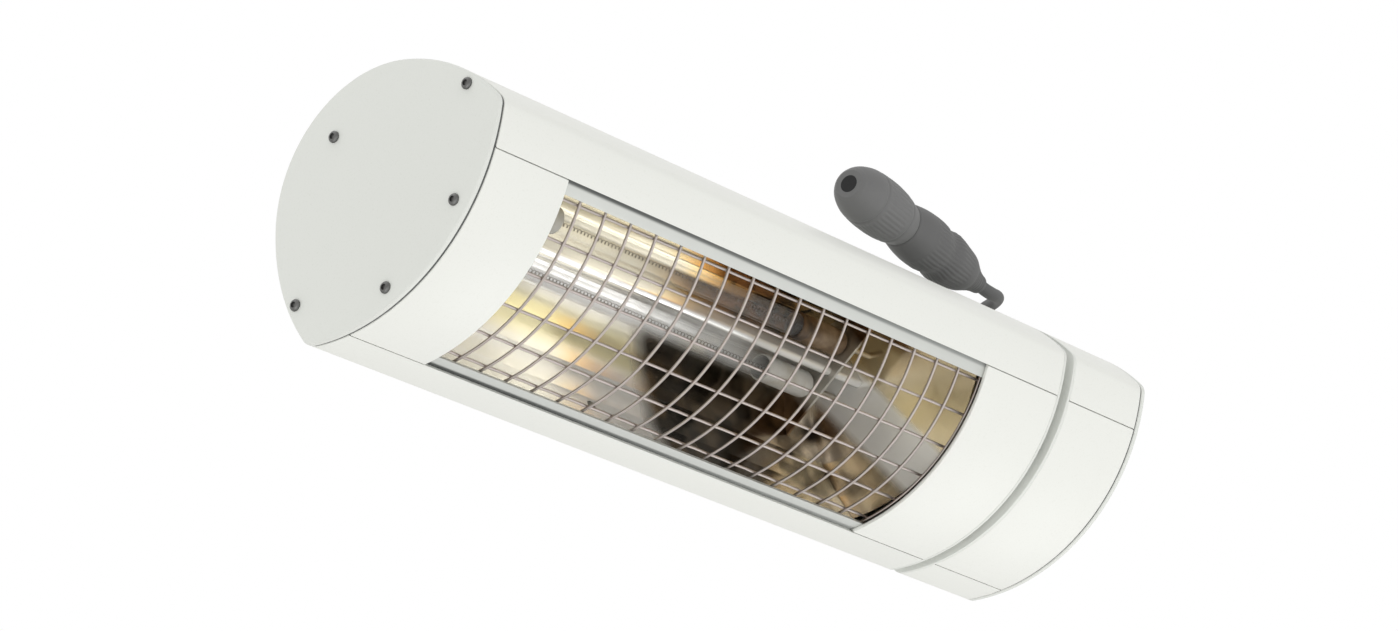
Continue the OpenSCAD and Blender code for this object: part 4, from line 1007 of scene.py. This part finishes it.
class HEATLAMP_OT_guard(bpy.types.Operator):
    """Welded wire guard behind the window"""
    bl_idname = "heatlamp.guard"
    bl_label = "Wire guard"

    def execute(self, context):
        # Cross wires on an arc under the ledges; sines bend each a little out of line
        r = context.scene.heatlamp_sizes.wire / MM / 2
        radius = FRONT_R - (COVER + LEDGE + r + 0.1)
        half = math.asin((SEAM - 1.5) / radius)
        x0, x1 = WINDOW_X0 - 7, WINDOW_X1 + 7
        count = int((x1 - x0 - 2 * r) // GUARD_PITCH)
        first = (x0 + x1) / 2 - count * GUARD_PITCH / 2
        a = np.linspace(-half, half, 49)
        parts = []
        for i in range(count + 1):
            x = first + i * GUARD_PITCH + 0.22 * math.sin(1.7 * i) + 0.18 * np.sin(2.3 * a / half + i)
            path = np.stack([x, radius * np.sin(a), BODY_Z + FRONT_C - radius * np.cos(a)], 1)
            parts.append(tube(path, r, 10, (1, 0, 0)))

        # Long wires under them, pressed up at each crossing by a cosine along x
        x = np.linspace(x0, x1, 60)
        d = radius - 2 * r + 0.3 + 0.1 * np.cos(2 * np.pi * (x - first) / GUARD_PITCH)
        for k in range(LONG_WIRES):
            b = half * (2 * (k + 0.5) / LONG_WIRES - 1)
            y = d * math.sin(b) + 0.1 * np.sin(x / 37 + k)
            path = np.stack([x, y, BODY_Z + FRONT_C - d * math.cos(b)], 1)
            parts.append(tube(path, r, 10))
        piece("guard_wires", joined(parts), "guard", stands_for=["wire_guard"])
        return {"FINISHED"}


class HEATLAMP_OT_mirror(bpy.types.Operator):
    """Folded mirror with rounded bends, end mirrors, ribs and rivets"""
    bl_idname = "heatlamp.mirror"
    bl_label = "Mirror"

    def execute(self, context):
        # The folded line from one rim down the side wall, round a lamp and up the middle
        # ridge, then mirrored, and carried outward by the sheet's thickness
        bend = context.scene.heatlamp_sizes.bend / MM
        rim = SEAM - MIRROR_SIDE
        rim_z = float(front_z(rim + 0.8, MIRROR_INSET))
        half = [(rim, rim_z), (rim - 3.2, 8), (rim - 9.2, 26), (rim - 18.2, 42),
                (TUBE_Y + 10, TUBE_Z + 9), (TUBE_Y + 3, TUBE_Z + 13), (TUBE_Y - 3, TUBE_Z + 13),
                (TUBE_Y - 8, TUBE_Z + 8), (2, TUBE_Z - 7)]
        inner = rounded(half + [(-y, z) for y, z in half[::-1]], bend)
        e = np.gradient(inner, axis=0)
        e /= np.linalg.norm(e, axis=1)[:, None]
        outer = inner - MIRROR_SHEET * np.stack([-e[:, 1], e[:, 0]], 1)
        loop = np.vstack([inner, outer[::-1]])
        sheet = prism(loop, WINDOW_X0 - MIRROR_OUT, WINDOW_X1 + MIRROR_OUT, 0.2, 2)
        piece("mirror_sheet", sheet, "mirror", stands_for=["reflector"])

        # End mirrors: the trough's own section in thin sheet, sheared so that x
        # goes inward by the height times the tangent of the lean
        y = np.linspace(-rim + 1, rim - 1, 13)
        section = np.vstack([inner, np.column_stack([y, front_z(y, END_MIRROR_FOOT)])])
        foot_z, slope = float(front_z(0, MIRROR_INSET)), math.tan(math.radians(END_MIRROR_LEAN))
        for node, edge, s in (("near_end_reflector", WINDOW_X0, -1), ("far_end_reflector", WINDOW_X1, 1)):
            x = edge + s * END_MIRROR_OUT
            points, faces = prism(section, x - MIRROR_SHEET / 2, x + MIRROR_SHEET / 2, 0.1, 1)
            points[:, 0] -= s * slope * (points[:, 2] - BODY_Z - foot_z)
            piece(node.replace("reflector", "mirror"), (points, faces), "mirror", stands_for=[node])
        finish_node("reflector_ribs", "zinc")

        # Rivets square to the mirror's side walls: a domed head by sine and cosine,
        # a shank and a closing head
        lean = math.atan2(3.2, 8 - rim_z)
        dome = [(-0.02, 2.6)]
        dome += [(-1.2 * math.sin(t), 2.6 * math.cos(t)) for t in np.radians(np.linspace(0, 80, 7))[1:]]
        parts = []
        for x in RIVET_X:
            for s in (-1, 1):
                foot = np.array([x, s * (rim - math.tan(lean) * (3 - rim_z)), 3 + BODY_Z])
                out = np.array([0, s * math.cos(lean), math.sin(lean)])
                parts.append(lathe(dome, foot, out, 24))
                parts.append(lathe([(-0.3, 1.6), (2.8, 1.6)], foot, out, 20))
                parts.append(lathe([(2.3, 2.6), (3.1, 2.5), (3.5, 1.4)], foot, out, 20))
        piece("rivet_heads", joined(parts), "dark_steel", stands_for=["reflector_rivets"])
        return {"FINISHED"}


class HEATLAMP_OT_lamps(bpy.types.Operator):
    """Quartz tubes, coiled filaments, ceramic caps, holders and wires"""
    bl_idname = "heatlamp.lamps"
    bl_label = "Lamps"

    def execute(self, context):
        pitch = context.scene.heatlamp_sizes.coil_pitch / MM
        z = TUBE_Z + BODY_Z
        x0, x1 = LAMP_X0 + GLASS_IN, LAMP_X1 - GLASS_IN
        for side, y in (("left", -TUBE_Y), ("right", TUBE_Y)):
            wall = [(x0 + 0.5, BORE_R), (x0 + 0.5, GLASS_R - 0.6), (x0 + 1.2, GLASS_R),
                    (x1 - 1.2, GLASS_R), (x1 - 0.5, GLASS_R - 0.6), (x1 - 0.5, BORE_R)]
            piece("quartz_" + side, hollow(wall, y, z, 48), "quartz", stands_for=["quartz_tube_" + side])

            # Filament: a helix that grows out of its straight ends
            turns = (x1 - x0 - 2 * COIL_IN) / pitch
            t = np.linspace(0, 2 * np.pi * turns, int(turns * 14))
            grow = np.clip(np.minimum(t, t[-1] - t) / 6, 0, 1)
            coil = np.stack([x0 + COIL_IN + pitch * t / (2 * np.pi), y + COIL_R * grow * np.cos(t),
                             z + COIL_R * grow * np.sin(t)], 1)
            ends = [tube([(LAMP_X0 + 2, y, z), (x0 + 6, y, z), (x0 + COIL_IN + 0.2, y, z)], 0.5, 10),
                    tube([(x1 - COIL_IN - 0.2, y, z), (x1 - 6, y, z), (LAMP_X1 - 2, y, z)], 0.5, 10)]
            piece("coil_" + side, joined([tube(coil, COIL_WIRE_R, 6, (1, 0, 0))] + ends), "filament",
                  stands_for=["filament_" + side])

        # Ceramic cap: rounded outer end, plain barrel, a shallow groove, a lip and
        # the seat of the glass
        a = np.radians(np.linspace(0, 90, 9))
        cap = [(4.5 * (1 - math.sin(math.pi / 2 - q)), 2.5 + 4.5 * math.sin(q)) for q in a]
        cap += [(30.0, CAP_R), (30.5, 6.75), (31.3, 6.75), (31.8, CAP_R), (37.3, CAP_R),
                (CAP_LENGTH, 6.4), (CAP_LENGTH, 6.06), (20.0, 6.05)]
        parts = [lathe(cap, (x, y, z), (side, 0, 0), 48)
                 for y in (-TUBE_Y, TUBE_Y) for x, side in ((LAMP_X0, 1), (LAMP_X1, -1))]
        piece("ceramic_caps", joined(parts), "ceramic", stands_for=["lamp_caps"])
        for node in ("near_lamp_holder", "far_lamp_holder"):
            finish_node(node, "scorched")
        for node in ("series_link", "line_leads"):
            finish_node(node, "nickel")
        finish_node("wire_bushings", "ceramic")
        return {"FINISHED"}


class HEATLAMP_OT_terminals(bpy.types.Operator):
    """Terminal block, earth stud, cable hood and gland"""
    bl_idname = "heatlamp.terminals"
    bl_label = "Terminals and cable entry"

    def execute(self, context):
        soften("terminal_block", "ceramic", 0.6)
        finish_node("terminal_screws", "brass")
        finish_node("block_screws", "zinc")
        finish_node("earth_stud", "brass")
        finish_node("earth_nuts", "zinc")
        soften("cable_hood", "bracket", 1.2, 3)
        soften("hood_screws", "stainless", 0.4)
        soften("cable_gland", "gland", 0.5)
        return {"FINISHED"}


class HEATLAMP_OT_clamp(bpy.types.Operator):
    """Hinge base, hanging clamp, bolts, pads and the star knob"""
    bl_idname = "heatlamp.clamp"
    bl_label = "Hanging clamp and hinge"

    def execute(self, context):
        finish_node("backing_plate", "zinc")
        soften("hinge_base", "bracket", 1.0, 3)
        soften("hinge_base_screws", "stainless", 0.6)
        soften("pivot_bolt", "stainless", 0.5)
        finish_node("friction_washers", "pad")
        soften("knob_washer", "stainless", 0.2)
        soften("clamp_saddle", "bracket", 0.9, 3)
        soften("clamp_cap", "bracket", 0.9, 3)
        soften("clamp_bolts", "stainless", 0.5)
        soften("clamp_nuts", "stainless", 0.4)
        soften("lower_pad", "pad", 0.4)
        soften("upper_pad", "pad", 0.4)

        # Star knob: the radius is that of a disc less six soft scallops, and the
        # rims are rounded; a neck stands under it and a shallow dish on its face
        lo, hi = (np.array(v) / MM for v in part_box("lock_knob"))
        rim = (hi[0] - lo[0]) / 2
        key = np.array([(0.0, 7.2), (0.6, KNOB_NECK), (7.4, KNOB_NECK), (7.5, rim - 2.8), (8.4, rim - 0.8),
                        (9.6, rim), (16.6, rim), (17.9, rim - 0.7), (18.7, rim - 2.2),
                        (KNOB_DEPTH, rim - 4.2), (18.4, rim - 5.2), (18.0, 7.0), (18.0, 0.5)])
        a = turn_angles(144)
        lobes = 0.5 + 0.5 * np.cos(KNOB_LOBES * a)
        depth = np.interp(key[:, 1], [KNOB_NECK + 0.5, rim - 5, rim], [0, 0.5, 1])
        rr = key[:, 1, None] - 3.0 * depth[:, None] * lobes[None] ** 2
        scale = (hi[1] - lo[1]) / KNOB_DEPTH
        points = np.stack([rr * np.cos(a), np.broadcast_to(lo[1] + scale * key[:, 0, None], rr.shape),
                           HINGE_Z + rr * np.sin(a)], -1).reshape(-1, 3)
        shape = (points, outwards(points, capped(len(key), len(a))))
        piece("star_knob", shape, "knob", "knob", ["lock_knob"], 40)
        return {"FINISHED"}


class HEATLAMP_PT_panel(bpy.types.Panel):
    """Sidebar panel that lists the pieces in their order"""
    bl_idname = "HEATLAMP_PT_panel"
    bl_label = "Heat Lamp"
    bl_space_type = "VIEW_3D"
    bl_region_type = "UI"
    bl_category = "Heat Lamp"

    def draw(self, context):
        for group in (getattr(context.scene, name) for name in GROUPS):
            box = self.layout.box()
            for name in group.__annotations__:
                box.prop(group, name)
        for operator in OPERATORS:
            self.layout.operator(operator.bl_idname)


GROUPS = {
    "heatlamp_stage": HEATLAMP_PG_stage,
    "heatlamp_sizes": HEATLAMP_PG_sizes,
    "heatlamp_finishes": HEATLAMP_PG_finishes,
}
OPERATORS = (
    HEATLAMP_OT_stage, HEATLAMP_OT_lead, HEATLAMP_OT_housing, HEATLAMP_OT_covers, HEATLAMP_OT_plates,
    HEATLAMP_OT_guard, HEATLAMP_OT_mirror, HEATLAMP_OT_lamps, HEATLAMP_OT_terminals, HEATLAMP_OT_clamp,
)
CLASSES = tuple(GROUPS.values()) + OPERATORS + (HEATLAMP_PT_panel,)


def register():
    for cls in CLASSES:
        bpy.utils.register_class(cls)
    for name, group in GROUPS.items():
        setattr(bpy.types.Scene, name, bpy.props.PointerProperty(type=group))


def unregister():
    for name in GROUPS:
        delattr(bpy.types.Scene, name)
    for cls in reversed(CLASSES):
        bpy.utils.unregister_class(cls)


def main():
    register()
    make_finishes(bpy.context.scene.heatlamp_finishes)
    for operator in OPERATORS:
        group, name = operator.bl_idname.split(".")
        getattr(getattr(bpy.ops, group), name)()


if __name__ == "__main__":
    main()
